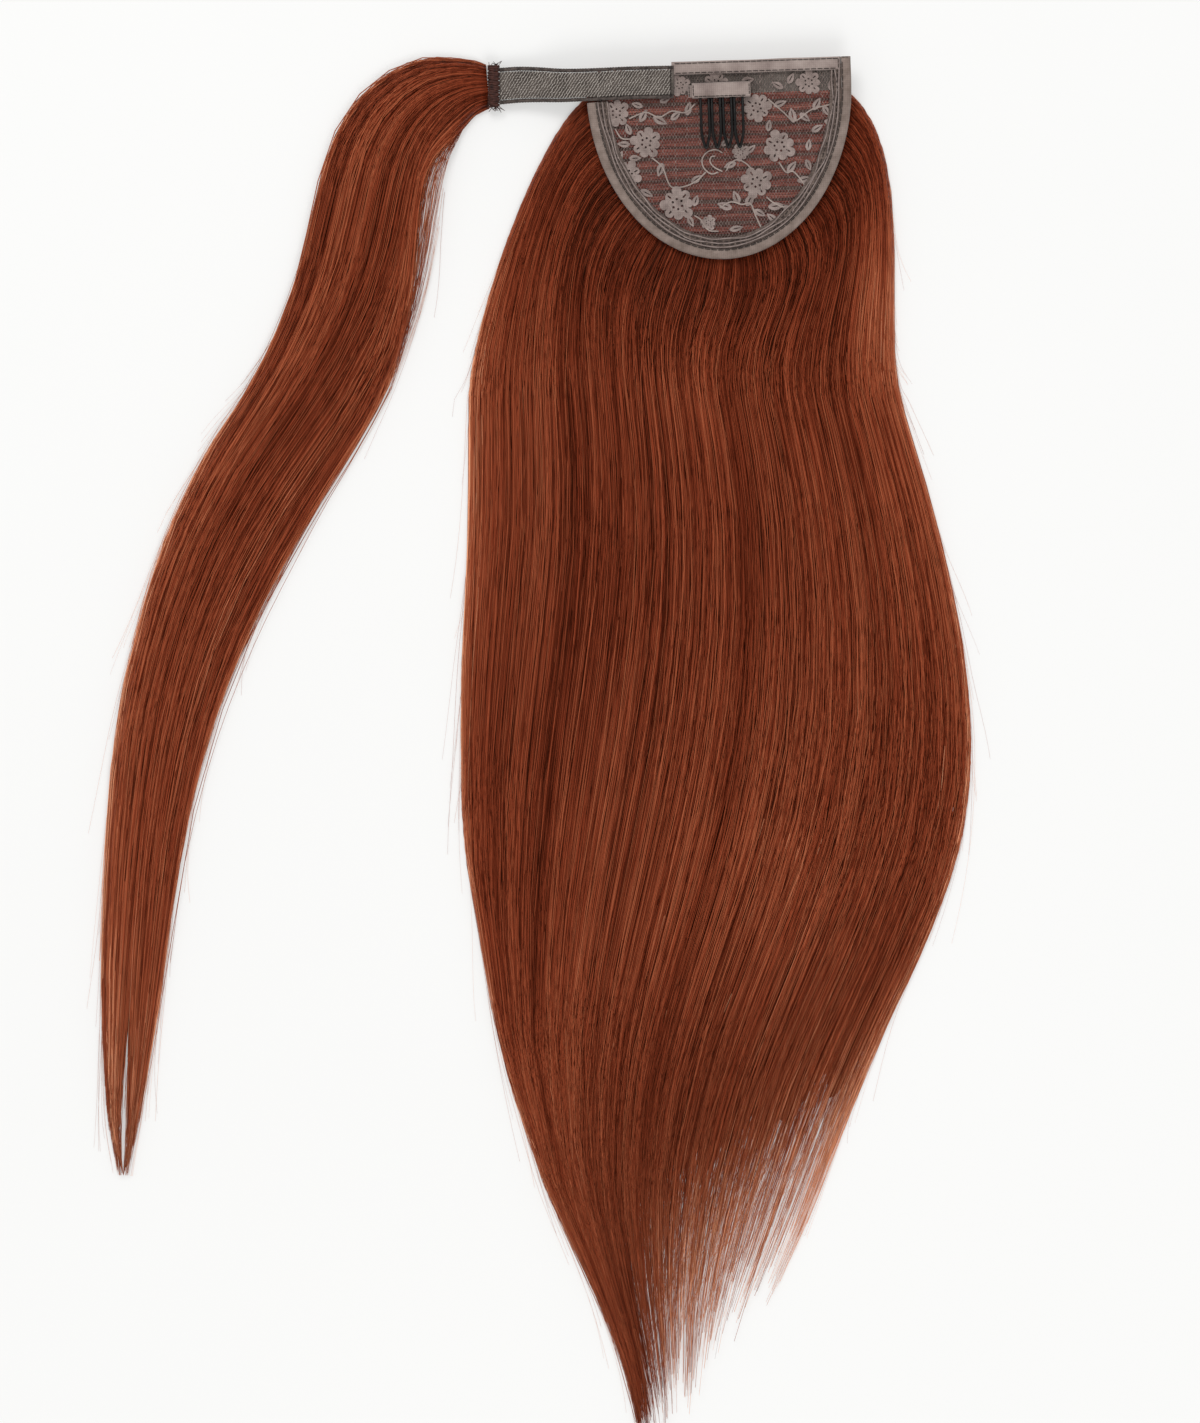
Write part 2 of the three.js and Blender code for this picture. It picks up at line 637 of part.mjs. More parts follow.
const wrapRoot = new THREE.Vector2(headLeft - GAP, headY);
const wrapLine = new THREE.CatmullRomCurve3(WRAP_SECTIONS.map(({ left, down }) => new THREE.Vector3(
  wrapRoot.x - left * WRAP_ACROSS,
  wrapRoot.y - down * WRAP_DOWN,
  0,
)), false, 'centripetal');

// The share of the curve's own parameter at each row of the table
const wrapRows = WRAP_SECTIONS.map((row, i) => ({ ...row, at: i / (WRAP_SECTIONS.length - 1) }));

function wrapLock(order) {
  const { across, half } = lockShare(order, WRAP_LOCKS);
  const endsAt = order === (WRAP_LOCKS - 1) / 2 ? WRAP_NOTCH : 1;
  const crown = 1 - WRAP_EDGE_THINNING * (2 * across - 1) ** 2;
  return lockGeometry(lockStations(order, WRAP_STATIONS).map((station) => {
    const at = endsAt * station;
    const point = wrapLine.getPoint(at);
    const ahead = at === 0 ? new THREE.Vector3(-1, 0, 0) : wrapLine.getTangent(at);
    const side = new THREE.Vector2(ahead.y, -ahead.x);
    const width = columnAt(wrapRows, 'at', 'width', at) * WRAP_WIDTH;
    const depth = columnAt(wrapRows, 'at', 'depth', at) * WRAP_DEPTH * crown;
    const parted = THREE.MathUtils.smoothstep(at, WRAP_PARTS_AT, 1);
    const parting = Math.sign(across - 0.5) * (WRAP_PARTING / 2) * parted;
    const ending = station === 1 ? LOCK_TIP : 1;
    return {
      point: new THREE.Vector2(point.x, point.y).addScaledVector(side, (across - 0.5) * width + parting),
      side,
      width: Math.max(LOCK_LEAST_WIDTH, 2 * half * width) * ending,
      depth: Math.max(LOCK_LEAST_DEPTH, depth) * ending,
    };
  }));
}
const wrap = piece('wrap_hair', fuse(Array.from({ length: WRAP_LOCKS }, (_, i) => wrapLock(i))), 'hair');

// The whole, moved so that its frame starts at the middle of its footprint on the table
const ponytail = new THREE.Group();
ponytail.add(cap, strap, strapEdging('strap_edging_upper', 1), strapEdging('strap_edging_lower', -1));
ponytail.add(head, wrap, tail);
const footprint = new THREE.Box3().setFromObject(ponytail);
const middle = footprint.getCenter(new THREE.Vector3());
ponytail.position.set(-middle.x, -middle.y, -footprint.min.z);

export default ponytail;
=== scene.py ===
import math

import bpy
import numpy as np
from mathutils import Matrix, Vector


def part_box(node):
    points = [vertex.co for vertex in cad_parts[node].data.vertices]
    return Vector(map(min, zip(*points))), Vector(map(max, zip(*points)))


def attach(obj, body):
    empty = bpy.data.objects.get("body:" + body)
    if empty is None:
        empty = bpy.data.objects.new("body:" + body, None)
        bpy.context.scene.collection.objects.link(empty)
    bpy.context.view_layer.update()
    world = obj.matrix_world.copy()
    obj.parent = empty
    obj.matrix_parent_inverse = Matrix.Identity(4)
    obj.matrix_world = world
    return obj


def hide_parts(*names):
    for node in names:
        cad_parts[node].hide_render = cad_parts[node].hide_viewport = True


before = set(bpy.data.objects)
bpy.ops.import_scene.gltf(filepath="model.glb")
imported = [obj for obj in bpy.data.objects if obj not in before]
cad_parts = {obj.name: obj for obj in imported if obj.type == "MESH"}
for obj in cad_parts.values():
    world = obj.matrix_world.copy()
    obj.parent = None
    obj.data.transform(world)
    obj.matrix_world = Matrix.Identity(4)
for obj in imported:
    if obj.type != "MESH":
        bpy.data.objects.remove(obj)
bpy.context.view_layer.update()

# The table, the light and the camera
# A white light table under soft boxes, seen from straight above as in a shop's photo, so that almost no
# shadow shows. The camera's frame is 504 mm wide and 597.7 mm high on the table.
MM = 0.001
FRAME_HEIGHT = 597.7 * MM
LENS, LONG_SIDE_OF_SENSOR, CLIP_START = 200, 36, 0.05
FRAME_MIDDLE_FROM_CAP = (-49.35, -272.4)
CAP_TURN = math.radians(1.9)
TURN_COS, TURN_SIN = math.cos(CAP_TURN), math.sin(CAP_TURN)
SLEEVE_MIDDLE_ON_CAP = (0.9, -12.4)
TABLE_SIZE, TABLE_DROP, TABLE_GLOW, ROOM_LIGHT = 6, 0.0003, 0.363, 0.7


def turned(x, y):
    """A flat place in the cap's own millimetres, turned as the cap lies on the table."""
    return x * TURN_COS - y * TURN_SIN, x * TURN_SIN + y * TURN_COS


sleeve_low, sleeve_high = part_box("comb_sleeve")
sleeve_turned = turned(*SLEEVE_MIDDLE_ON_CAP)
CAP_X = (sleeve_low[0] + sleeve_high[0]) / 2 / MM - sleeve_turned[0]
CAP_Y = (sleeve_low[1] + sleeve_high[1]) / 2 / MM - sleeve_turned[1]


def on_table(points):
    """Points in millimetres from the middle of the cap's top edge, as metres in the part's frame."""
    points = np.asarray(points, float).copy()
    points[..., 0] += CAP_X
    points[..., 1] += CAP_Y
    return points * MM


def on_cap(points):
    """The same for points that lie on the cap, in its own turned frame."""
    points = np.asarray(points, float).copy()
    points[..., 0], points[..., 1] = turned(points[..., 0].copy(), points[..., 1].copy())
    return on_table(points)


def linear(hex_colour):
    """An sRGB hex colour as the linear RGBA that Blender's sockets take."""
    parts = [int(hex_colour[i:i + 2], 16) / 255 for i in (1, 3, 5)]
    return (*(p / 12.92 if p <= 0.04045 else ((p + 0.055) / 1.055) ** 2.4 for p in parts), 1)


def add_node(tree, kind, inputs=None, stops=(), **settings):
    """Adds a shader node. inputs gives a socket's value or the socket that feeds it, stops a colour
    ramp's colours."""
    made = tree.nodes.new("ShaderNode" + kind)
    for name, value in settings.items():
        setattr(made, name, value)
    for name, value in (inputs or {}).items():
        if isinstance(value, bpy.types.NodeSocket):
            tree.links.new(value, made.inputs[name])
        else:
            made.inputs[name].default_value = value
    for order, (place, hex_colour) in enumerate(stops):
        stop = made.color_ramp.elements[order] if order < 2 else made.color_ramp.elements.new(place)
        stop.position = place
        stop.color = linear(hex_colour)
    return made


def colour_ramp(tree, value, *stops):
    """The colour that a value gives. A stop is its place, 0 to 1, and its hex colour."""
    return add_node(tree, "ValToRGB", {"Fac": value}, stops=stops).outputs["Color"]


def object_noise(tree, length, detail, roughness=0.5):
    """Soft noise of that length in millimetres, fixed to the piece."""
    place = add_node(tree, "TexCoord").outputs["Object"]
    inputs = {"Vector": place, "Scale": 1 / (length * MM), "Detail": detail, "Roughness": roughness}
    return add_node(tree, "TexNoise", inputs).outputs["Fac"]


def new_material(name):
    """A material with an empty node tree, and that tree."""
    material = bpy.data.materials.new(name)
    material.use_nodes = True
    material.node_tree.nodes.clear()
    return material, material.node_tree


def finish_material(tree, **inputs):
    """Ends a material's tree in one Principled BSDF with these inputs."""
    names = {name.replace("_", " "): value for name, value in inputs.items()}
    surface = add_node(tree, "BsdfPrincipled", names)
    add_node(tree, "OutputMaterial", {"Surface": surface.outputs["BSDF"]})


def lit_opal_acrylic():
    """Opal acrylic sheet over a light panel, matted on top. It glows evenly, so shadows on it nearly
    vanish."""
    material, tree = new_material("lit_opal_acrylic")
    grain = add_node(tree, "TexNoise", {"Scale": 1 / (40 * MM), "Detail": 3.0})
    shade = colour_ramp(tree, grain.outputs["Fac"], (0.3, "#bcbcbb"), (0.7, "#bdbdbc"))
    finish_material(
        tree, Base_Color=shade, Roughness=0.9, Specular_IOR_Level=0.1,
        Emission_Color=linear("#fffffe"), Emission_Strength=TABLE_GLOW)
    return material


bpy.ops.mesh.primitive_plane_add(size=TABLE_SIZE, location=(0, 0, -TABLE_DROP))
table_top = bpy.context.object
table_top.name = "table_top"
table_top.data.materials.append(lit_opal_acrylic())

scene = bpy.context.scene
scene.view_settings.view_transform = "Standard"
scene.view_settings.look = "None"
world = bpy.data.worlds.new("soft_box")
scene.world = world
world.use_nodes = True
world.node_tree.nodes["Background"].inputs["Color"].default_value = linear("#ffffff")
world.node_tree.nodes["Background"].inputs["Strength"].default_value = ROOM_LIGHT


def soft_light(name, place, size, power):
    """A square soft light that faces the middle of the hairpiece."""
    lamp = bpy.data.lights.new(name, "AREA")
    lamp.size = size
    lamp.energy = power
    holder = bpy.data.objects.new(name, lamp)
    scene.collection.objects.link(holder)
    holder.location = place
    holder.rotation_euler = (-Vector(place)).to_track_quat("-Z", "Y").to_euler()


soft_light("light_from_the_head", (-0.5, 1.5, 1.9), size=1.0, power=22)
soft_light("light_from_the_feet", (0.6, -1.5, 2.0), size=1.2, power=20)

camera_data = bpy.data.cameras.new("camera")
camera_data.lens = LENS
camera_data.sensor_width = LONG_SIDE_OF_SENSOR
camera_data.clip_start = CLIP_START
camera = bpy.data.objects.new("camera", camera_data)
scene.collection.objects.link(camera)
camera.location = on_table((*FRAME_MIDDLE_FROM_CAP, 0))
camera.location.z = FRAME_HEIGHT * LENS / LONG_SIDE_OF_SENSOR
scene.camera = camera

# The tail
# Long straight human-hair fibre, dyed auburn. It is sewn to the cap's outer side, leaves its round edge
# square to it, bends over the shoulders and falls in one sheet that tapers to a point. Every hair is a
# fine closed fibre of its own.
CAP_WIDTH, CAP_SIDE, CAP_ARC_DEPTH = 111, 10, 73
TAIL_REACH, TAIL_HALF_WIDTH, TAIL_DEPTH = 566, 108, 11.5
TAIL_EXIT_PULL, TAIL_SHEET_PULL = 96, 95
TAIL_LEFT_CORNER_PULL, TAIL_RIGHT_CORNER_PULL, TAIL_RIGHT_CORNER_LEAN = 66, 114, 57
ROOT_INSIDE, HAIR_SIDES, STREAKS_A_METRE = 6.6, 3, 420
TAIL_CLUMPS, TAIL_WISPS, TAIL_TIP_LOCKS, TAIL_WISP_LOCKS = 46, 420, 70, 34
TAIL_TONE, TAIL_ROOT_PAINTED_SHADE, TAIL_TIP_PAINTED_LIGHT, TAIL_RIM_PAINTED_LIGHT = 0.5, 0.2, 0.46, 0.3

# down, left and right as shares of the tail's reach and half width
TAIL_SIDES = [
    (0.25, -0.975, 0.715), (0.36, -0.98, 0.88), (0.45, -1.0, 0.97), (0.51, -1.0, 0.99),
    (0.57, -0.99, 0.96), (0.66, -0.91, 0.8), (0.72, -0.85, 0.65), (0.79, -0.74, 0.5),
    (0.84, -0.645, 0.4), (0.88, -0.545, 0.31), (0.925, -0.435, 0.2), (0.97, -0.345, 0.13),
    (1.0, -0.3, 0.07),
]
# down as a share of the reach, depth as a share of the full depth
TAIL_DEPTHS = [
    (0.25, 1.0), (0.45, 0.9), (0.57, 0.8), (0.72, 0.66), (0.84, 0.5), (0.925, 0.32), (1.0, 0.14),
]
# travel, and the power that shifts the inner hair: under 1 to the right, over 1 to the left
TAIL_DRIFT = [
    (0, 1), (0.7, 0.95), (1.1, 0.88), (1.3, 1.0), (1.5, 1.22), (1.7, 1.6), (1.85, 2.0), (2.1, 2.7),
]
# across the tail from left to right, down to where the hair ends there
TAIL_ENDS = [(0, 1.0), (0.2, 0.99), (0.4, 0.98), (0.6, 0.965), (0.8, 0.94), (0.9, 0.91), (1, 0.865)]
# painted sheen and shade, where the hair swells into the light or dips out of it: flat place, reach
# across and along, and how much
TAIL_PAINTED_SHEEN_AND_SHADE = [
    (66, -100, 10, 34, 0.26), (-43, -217, 20, 60, -0.12), (-12, -352, 30, 30, 0.09),
    (45, -305, 16, 25, -0.1), (-1, -448, 22, 28, -0.11), (35, -175, 14, 25, 0.08),
    (-20, -142, 18, 20, 0.06),
]
# each layer's name, number of hairs, lowest and highest share of the height, least and greatest radius
TAIL_LAYERS = [
    ("low", 900, (0.35, 0.8), (0.24, 0.4)), ("mid", 1500, (0.75, 0.93), (0.17, 0.33)),
    ("top", 1800, (0.9, 1.0), (0.13, 0.26)),
]
# travel from the cap, 0, past the shoulder, 1, to the tips, 2
TRAVEL = np.array([
    0, 0.09, 0.18, 0.3, 0.43, 0.57, 0.72, 0.87, 1.0, 1.06, 1.14, 1.25, 1.38, 1.52, 1.66, 1.8, 1.91, 2.0])


def through(rows, column, at):
    """A smooth curve's value at a key, through rows whose first entry is the key."""
    table = np.array(rows, float)
    keys, values = table[:, 0], table[:, column]
    slopes = np.gradient(values, keys)
    i = np.clip(np.searchsorted(keys, at) - 1, 0, len(keys) - 2)
    gap = keys[i + 1] - keys[i]
    q = np.clip((at - keys[i]) / gap, 0, 1)
    start = values[i] * (2 * q ** 3 - 3 * q ** 2 + 1) + slopes[i] * gap * (q ** 3 - 2 * q ** 2 + q)
    return start + values[i + 1] * (3 * q ** 2 - 2 * q ** 3) + slopes[i + 1] * gap * (q ** 3 - q ** 2)


def smooth_step(low, high, at):
    """0 below low, 1 above high, and a soft rise between them."""
    q = np.clip((at - low) / (high - low), 0, 1)
    return q * q * (3 - 2 * q)


def cap_edge(turn, inset):
    """A point of the cap's rounded edge, 0 at its left side and 1 at its right, and the direction out
    of the cap."""
    angle = math.pi * (1 + np.asarray(turn, float))
    cos, sin = np.cos(angle), np.sin(angle)
    out = np.stack([cos * CAP_ARC_DEPTH, sin * CAP_WIDTH / 2], axis=-1)
    out /= np.linalg.norm(out, axis=-1, keepdims=True)
    point = np.stack([cos * CAP_WIDTH / 2, sin * CAP_ARC_DEPTH - CAP_SIDE], axis=-1)
    return point - out * inset, out


def flat_turned(points):
    """Flat points of the cap, turned as it lies."""
    return np.stack(turned(points[..., 0], points[..., 1]), axis=-1)


def tail_sheet(across, travel):
    """Where the hair runs past the shoulder, as flat millimetres. Travel is 1 there and 2 at the tips."""
    travel = np.maximum(travel, 1)
    first = TAIL_SIDES[0][0]
    down = first + (travel - 1) * (through(TAIL_ENDS, 1, across) - first)
    left, right = through(TAIL_SIDES, 1, down), through(TAIL_SIDES, 2, down)
    drifted = np.sign(across) * np.abs(across) ** through(TAIL_DRIFT, 1, travel)
    return np.stack([(left + (right - left) * drifted) * TAIL_HALF_WIDTH, -down * TAIL_REACH], axis=-1)


def tail_flow(across, travel):
    """Where the tail's hair runs: flat millimetres for a place across it, 0 to 1, and a travel along
    it, 0 to 2."""
    across, travel = np.broadcast_arrays(np.asarray(across, float), np.asarray(travel, float))
    joint = tail_sheet(across, 1)
    onward = tail_sheet(across, 1.04) - joint
    onward *= TAIL_SHEET_PULL / np.linalg.norm(onward, axis=-1, keepdims=True)
    start, out = cap_edge(across, ROOT_INSIDE)
    corner_pull = np.where(across < 0.5, TAIL_LEFT_CORNER_PULL, TAIL_RIGHT_CORNER_PULL)
    pull = TAIL_EXIT_PULL + (corner_pull - TAIL_EXIT_PULL) * np.abs(2 * across - 1) ** 3
    q = np.clip(travel, 0, 1)[..., None]
    shoulder = flat_turned(start) * (2 * q ** 3 - 3 * q ** 2 + 1)
    leaving = flat_turned(out) * pull[..., None]
    leaving[..., 1] -= TAIL_RIGHT_CORNER_LEAN * smooth_step(0.8, 1.0, across)
    shoulder += leaving * (q ** 3 - 2 * q ** 2 + q)
    shoulder += joint * (3 * q ** 2 - 2 * q ** 3) + onward * (q ** 3 - q ** 2)
    return np.where(travel[..., None] < 1, shoulder, tail_sheet(across, travel))


def tail_height(across, travel):
    """The height of the tail's upper surface, in millimetres."""
    end = through(TAIL_ENDS, 1, across)
    down = TAIL_SIDES[0][0] + np.clip(travel - 1, 0, 1) * (end - TAIL_SIDES[0][0])
    crown = 1 - 0.45 * (2 * across - 1) ** 2
    full = through(TAIL_DEPTHS, 1, down) * TAIL_DEPTH * crown
    swell = np.clip((travel - 0.12) / 0.5, 0, 1)
    edge = np.sqrt(np.clip(1 - np.abs(2 * across - 1) ** 12, 0.02, 1))
    return (np.minimum(8.6, full) * (1 - swell) + full * swell) * edge


def raised(flat, height):
    """Flat places, each with its height or with one height for all of them."""
    flat = np.asarray(flat, float)
    return np.concatenate([flat, np.broadcast_to(height, flat.shape[:-1])[..., None]], axis=-1)


def new_piece(name, points, faces, material, smooth=True):
    """A mesh object from points in metres, which rides on the hairpiece and has the material it is
    given."""
    mesh = bpy.data.meshes.new(name)
    mesh.from_pydata(np.asarray(points).reshape(-1, 3).tolist(), [], faces)
    mesh.polygons.foreach_set("use_smooth", [smooth] * len(mesh.polygons))
    mesh.materials.append(material)
    piece = bpy.data.objects.new(name, mesh)
    scene.collection.objects.link(piece)
    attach(piece, "root")
    return piece


def cap_piece(name, mesh, material, smooth=True):
    """The same from a mesh on the cap: its points in the cap's millimetres, and its faces."""
    points, faces = mesh
    return new_piece(name, on_cap(points), faces, material, smooth)


def skin(rings, sides, mirrored=False):
    """Faces of a closed form through rings of that many points, with both ends capped. mirrored turns
    them over."""
    first, last = tuple(range(sides)), tuple(range((rings - 1) * sides, rings * sides))
    faces = []
    for ring in range(rings - 1):
        for corner in range(sides):
            here = ring * sides + corner
            after = ring * sides + (corner + 1) % sides
            there, beyond = here + sides, after + sides
            faces.append((here, there, beyond, after) if mirrored else (here, after, beyond, there))
    return faces + ([first, last[::-1]] if mirrored else [first[::-1], last])


def tubes(centres, radii, sides=3, flatten=1.0, closed=False):
    """Round bars along n rows of m places each: their points and faces. They have ends unless they
    close in a ring."""
    centres = np.asarray(centres, float)
    rows, places, _ = centres.shape
    radii = np.broadcast_to(np.asarray(radii, float), (rows, places))
    if closed:
        ahead = np.roll(centres, -1, axis=1) - np.roll(centres, 1, axis=1)
    else:
        ahead = np.gradient(centres, axis=1)
    ahead /= np.linalg.norm(ahead, axis=2, keepdims=True) + 1e-12
    side = np.cross(ahead, [0.0, 0.0, 1.0])
    length = np.linalg.norm(side, axis=2, keepdims=True)
    side = np.where(length > 1e-4, side / np.maximum(length, 1e-4), [1.0, 0.0, 0.0])
    up = np.cross(side, ahead)
    angles = math.pi / 2 + 2 * math.pi * np.arange(sides) / sides
    ring = np.cos(angles)[:, None] * side[:, :, None] + flatten * np.sin(angles)[:, None] * up[:, :, None]
    points = centres[:, :, None] + radii[:, :, None, None] * ring
    row, place, corner = np.meshgrid(
        np.arange(rows), np.arange(places if closed else places - 1), np.arange(sides), indexing="ij")
    here = (row * places + place) * sides
    there = (row * places + (place + 1) % places) * sides
    after = (corner + 1) % sides
    faces = np.stack([here + corner, there + corner, there + after, here + after], axis=-1)
    faces = faces.reshape(-1, 4).tolist()
    if not closed:
        first = np.arange(rows)[:, None] * places * sides
        faces += (first + np.arange(sides)).tolist()
        faces += (first + (places - 1) * sides + np.arange(sides)[::-1]).tolist()
    return points.reshape(-1, 3), faces


def set_tone(piece, tones):
    """Gives each point of a piece its place between dark and light hair, 0 to 1."""
    layer = piece.data.attributes.new("tone", "FLOAT", "POINT")
    layer.data.foreach_set("value", np.clip(np.asarray(tones, float).ravel(), 0, 1))


def set_strip_map(piece, along, across):
    """A map in which each hair is a narrow upright strip, for the baked finish."""
    layer = piece.data.uv_layers.new(name="OFBake")
    corners = np.empty(len(piece.data.loops), dtype=np.int64)
    piece.data.loops.foreach_get("vertex_index", corners)
    places = np.stack([np.ravel(across)[corners], np.ravel(along)[corners]], axis=-1)
    layer.data.foreach_set("uv", places.ravel())


def hair_piece(name, flat, high, radii, tones):
    """Many single hairs as one piece: flat places and heights in millimetres, one row for each hair."""
    rows, places, _ = flat.shape
    points, faces = tubes(raised(flat, high), radii, HAIR_SIDES, flatten=0.8)
    piece = new_piece(name, on_table(points), faces, hair)
    set_tone(piece, np.repeat(tones, HAIR_SIDES, axis=1))
    strip = (np.arange(rows)[:, None, None] + 0.3 + 0.2 * np.arange(HAIR_SIDES)) / rows
    along = np.linspace(0.005, 0.995, places)[None, :, None]
    set_strip_map(piece, *np.broadcast_arrays(along, strip))


def dyed_hair():
    """Dyed straight human hair, combed and pressed: a soft gloss that takes the fibre's own warm
    colour, and tones that differ from hair to hair, so that it looks streaked. Each hair's tone, with
    the painted light and shade on it, is stored on its points."""
    material, tree = new_material("dyed_auburn_hair")
    tone = add_node(tree, "Attribute", attribute_name="tone")
    place = add_node(tree, "TexCoord")
    stretched = add_node(tree, "Mapping", {"Vector": place.outputs["Object"], "Scale": (1.0, 0.06, 1.0)})
    streak_inputs = {"Vector": stretched.outputs["Vector"], "Scale": STREAKS_A_METRE, "Detail": 2.0}
    streaks = add_node(tree, "TexNoise", streak_inputs)
    shift = add_node(tree, "MapRange", {"Value": streaks.outputs["Fac"], "To Min": -0.08, "To Max": 0.08})
    mixed = add_node(tree, "Math", {0: tone.outputs["Fac"], 1: shift.outputs["Result"]}, operation="ADD")
    colour = colour_ramp(
        tree, mixed.outputs["Value"],
        (0.0, "#2c0a03"), (0.25, "#5c1f0e"), (0.5, "#8c3f26"), (0.8, "#ad6141"), (1.0, "#f2ac84"))
    finish_material(
        tree, Base_Color=colour, Roughness=0.4, IOR=1.55, Specular_IOR_Level=0.4,
        Specular_Tint=linear("#d08a68"))
    return material


hair = dyed_hair()


def gathered(across, count, seed):
    """Gathers hairs into clumps: for each hair the clump's middle, its number, and the hair's offset in
    it, -1 to 1."""
    draw = np.random.default_rng(seed)
    middles = np.sort((np.arange(count) + draw.uniform(0.1, 0.9, count)) / count)
    nearest = np.abs(across[:, None] - middles[None]).argmin(axis=1)
    return middles[nearest], nearest, np.clip((across - middles[nearest]) * count * 1.6, -1, 1)


def clump_values(count, seed):
    """One value from -1 to 1 for each clump."""
    return np.random.default_rng(seed).uniform(-1, 1, count)


def shifted(stations, count, draw, most):
    """Each hair's travels: the stations, shifted by up to that share of a step, so that no pattern
    shows."""
    return stations + draw.uniform(-most, most, (count, 1)) * np.gradient(stations)


def drawn_together(across, middle, wisp, gather):
    """Places across the hair along each one, drawn to their wisp and half as much to their clump."""
    return across[:, None] + (middle - across)[:, None] * gather * 0.5 + (wisp - across)[:, None] * gather


def humps(inside, in_wisp, clump_rise, wisp_rise):
    """How far hairs rise in the middle of their clump and of their wisp."""
    return (clump_rise * (1 - inside ** 2) + wisp_rise * (1 - in_wisp ** 2))[:, None]


def tail_hairs(name, across, layers, width, seed, stations=TRAVEL, sway_size=0.007, edge_painted_light=0.0):
    """A layer of the tail's hairs. layers is the lowest and highest share of the tail's height that
    they lie at."""
    draw = np.random.default_rng(seed)
    count = len(across)
    middle, clump, inside = gathered(across, TAIL_CLUMPS, 5)
    wisp, wisp_number, in_wisp = gathered(across, TAIL_WISPS, 9)
    lock, lock_number, _ = gathered(across, TAIL_TIP_LOCKS, 13)
    travel = shifted(stations, count, draw, 0.35)
    travel[:, 0] = 0
    loose = 0.25 + 0.75 * smooth_step(0.15, 0.6, across)
    lock_end = 0.5 + 0.5 * clump_values(TAIL_TIP_LOCKS, 14)[lock_number]
    uneven = 0.24 + 0.05 * smooth_step(0.5, 0.95, across)
    ends = 1 + loose * (0.08 - uneven * draw.random(count) ** 0.8 - 0.06 * lock_end)
    travel = np.where(travel > 1, 1 + (travel - 1) * ends[:, None], travel)
    gather = 0.05 + 0.25 * smooth_step(0.5, 2.0, travel)
    tip_gather = 0.6 * smooth_step(1.75, 2.0, travel) * loose[:, None]
    flow = drawn_together(across, middle, wisp, gather)
    flow = flow + (lock[:, None] - flow) * tip_gather
    sway = draw.normal(0, sway_size, (2, count, 1)) * smooth_step(0.0, 0.6, travel)
    flow = flow + sway[0] * np.sin(travel * 2.3 + draw.uniform(0, 6, (count, 1)))
    flow = flow + 0.35 * sway[1] * np.sin(travel * 7 + draw.uniform(0, 6, (count, 1)))
    stray = (draw.random(count) < 0.08) * draw.normal(0, 0.035, count)
    flow = flow + stray[:, None] * smooth_step(0.1, 1.9, travel)
    flow = np.where(flow < 0.002, 0.002 + 0.4 * (0.002 - flow), flow)
    flow = np.clip(np.where(flow > 0.998, 0.998 - 0.4 * (flow - 0.998), flow), 0.0, 1.0)
    flat = tail_flow(flow, travel)
    frayed = draw.exponential(0.4, count) * (across < 0.03)
    flat[..., 0] -= frayed[:, None] * smooth_step(1.3, 1.8, travel)
    height = tail_height(flow, travel)
    share = draw.uniform(*layers, count)[:, None]
    relief = humps(inside, in_wisp, 0.25, 0.4) * smooth_step(0.1, 0.6, travel)
    high = np.maximum(height * share + relief - 0.35, 0.45)
    to_own_end = (travel - 1) / ends[:, None]
    radius = draw.uniform(*width, count)[:, None] * (1 - 0.68 * smooth_step(0.5, 0.95, to_own_end))
    clump_tone = clump_values(TAIL_CLUMPS, 6)[clump][:, None]
    wisp_tone = clump_values(TAIL_WISPS, 10)[wisp_number][:, None]
    flat_x, flat_y = flat[..., 0], flat[..., 1]
    # broad tone changes across the tail, and painted sheen and shade where the hair swells and dips
    broad_tone_and_painted_sheen = 0.055 * np.sin(flat_x / 36 + 1) * np.cos(flat_y / 52)
    broad_tone_and_painted_sheen += 0.03 * np.sin(flat_x / 14 - flat_y / 70)
    for x, y, wide, long, amount in TAIL_PAINTED_SHEEN_AND_SHADE:
        broad_tone_and_painted_sheen = broad_tone_and_painted_sheen + amount * np.exp(-((flat_x - x) / wide) ** 2 - ((flat_y - y) / long) ** 2)
    # painted shade: the hair is darkened where it comes out from under the cap's edge
    root_painted_shade = -TAIL_ROOT_PAINTED_SHADE * (1 - smooth_step(0.15, 1.0, travel))
    own = np.minimum(draw.normal(0, 0.15, count), 0.2) - 0.24 * (draw.random(count) < 0.12)
    tone = TAIL_TONE + edge_painted_light + 0.035 * clump_tone + 0.09 * wisp_tone + own[:, None]
    # painted light: the thin ends, more so to the right, and the hairs along both edges are lightened for
    # the table's light that shines through them
    tip = smooth_step(1.66, 1.94, travel)
    rim_width = 0.014 + 0.05 * smooth_step(1.3, 1.8, travel)
    rim = smooth_step(rim_width, 0.0, flow) + smooth_step(0.986, 1.0, flow)
    # painted shade: hairs that lie lower in the layer are darkened as if shaded by those above, and the
    # hairs at the edge of each clump a little too
    painted_under_shade = (1 - share) * (0.5 if edge_painted_light == 0 else 0.1) * (1 - tip) * (1 - rim)
    tone = tone + broad_tone_and_painted_sheen + root_painted_shade - 0.04 * (inside ** 4)[:, None] - painted_under_shade
    tone = tone + TAIL_TIP_PAINTED_LIGHT * tip * smooth_step(0.35, 0.85, across)[:, None] + TAIL_RIM_PAINTED_LIGHT * rim
    hair_piece(name, flat, high, radius, tone)


def evenly(count, seed, low=0.004, high=0.996):
    """Places across the hair, spread at random and in order."""
    return np.sort(np.random.default_rng(seed).uniform(low, high, count))


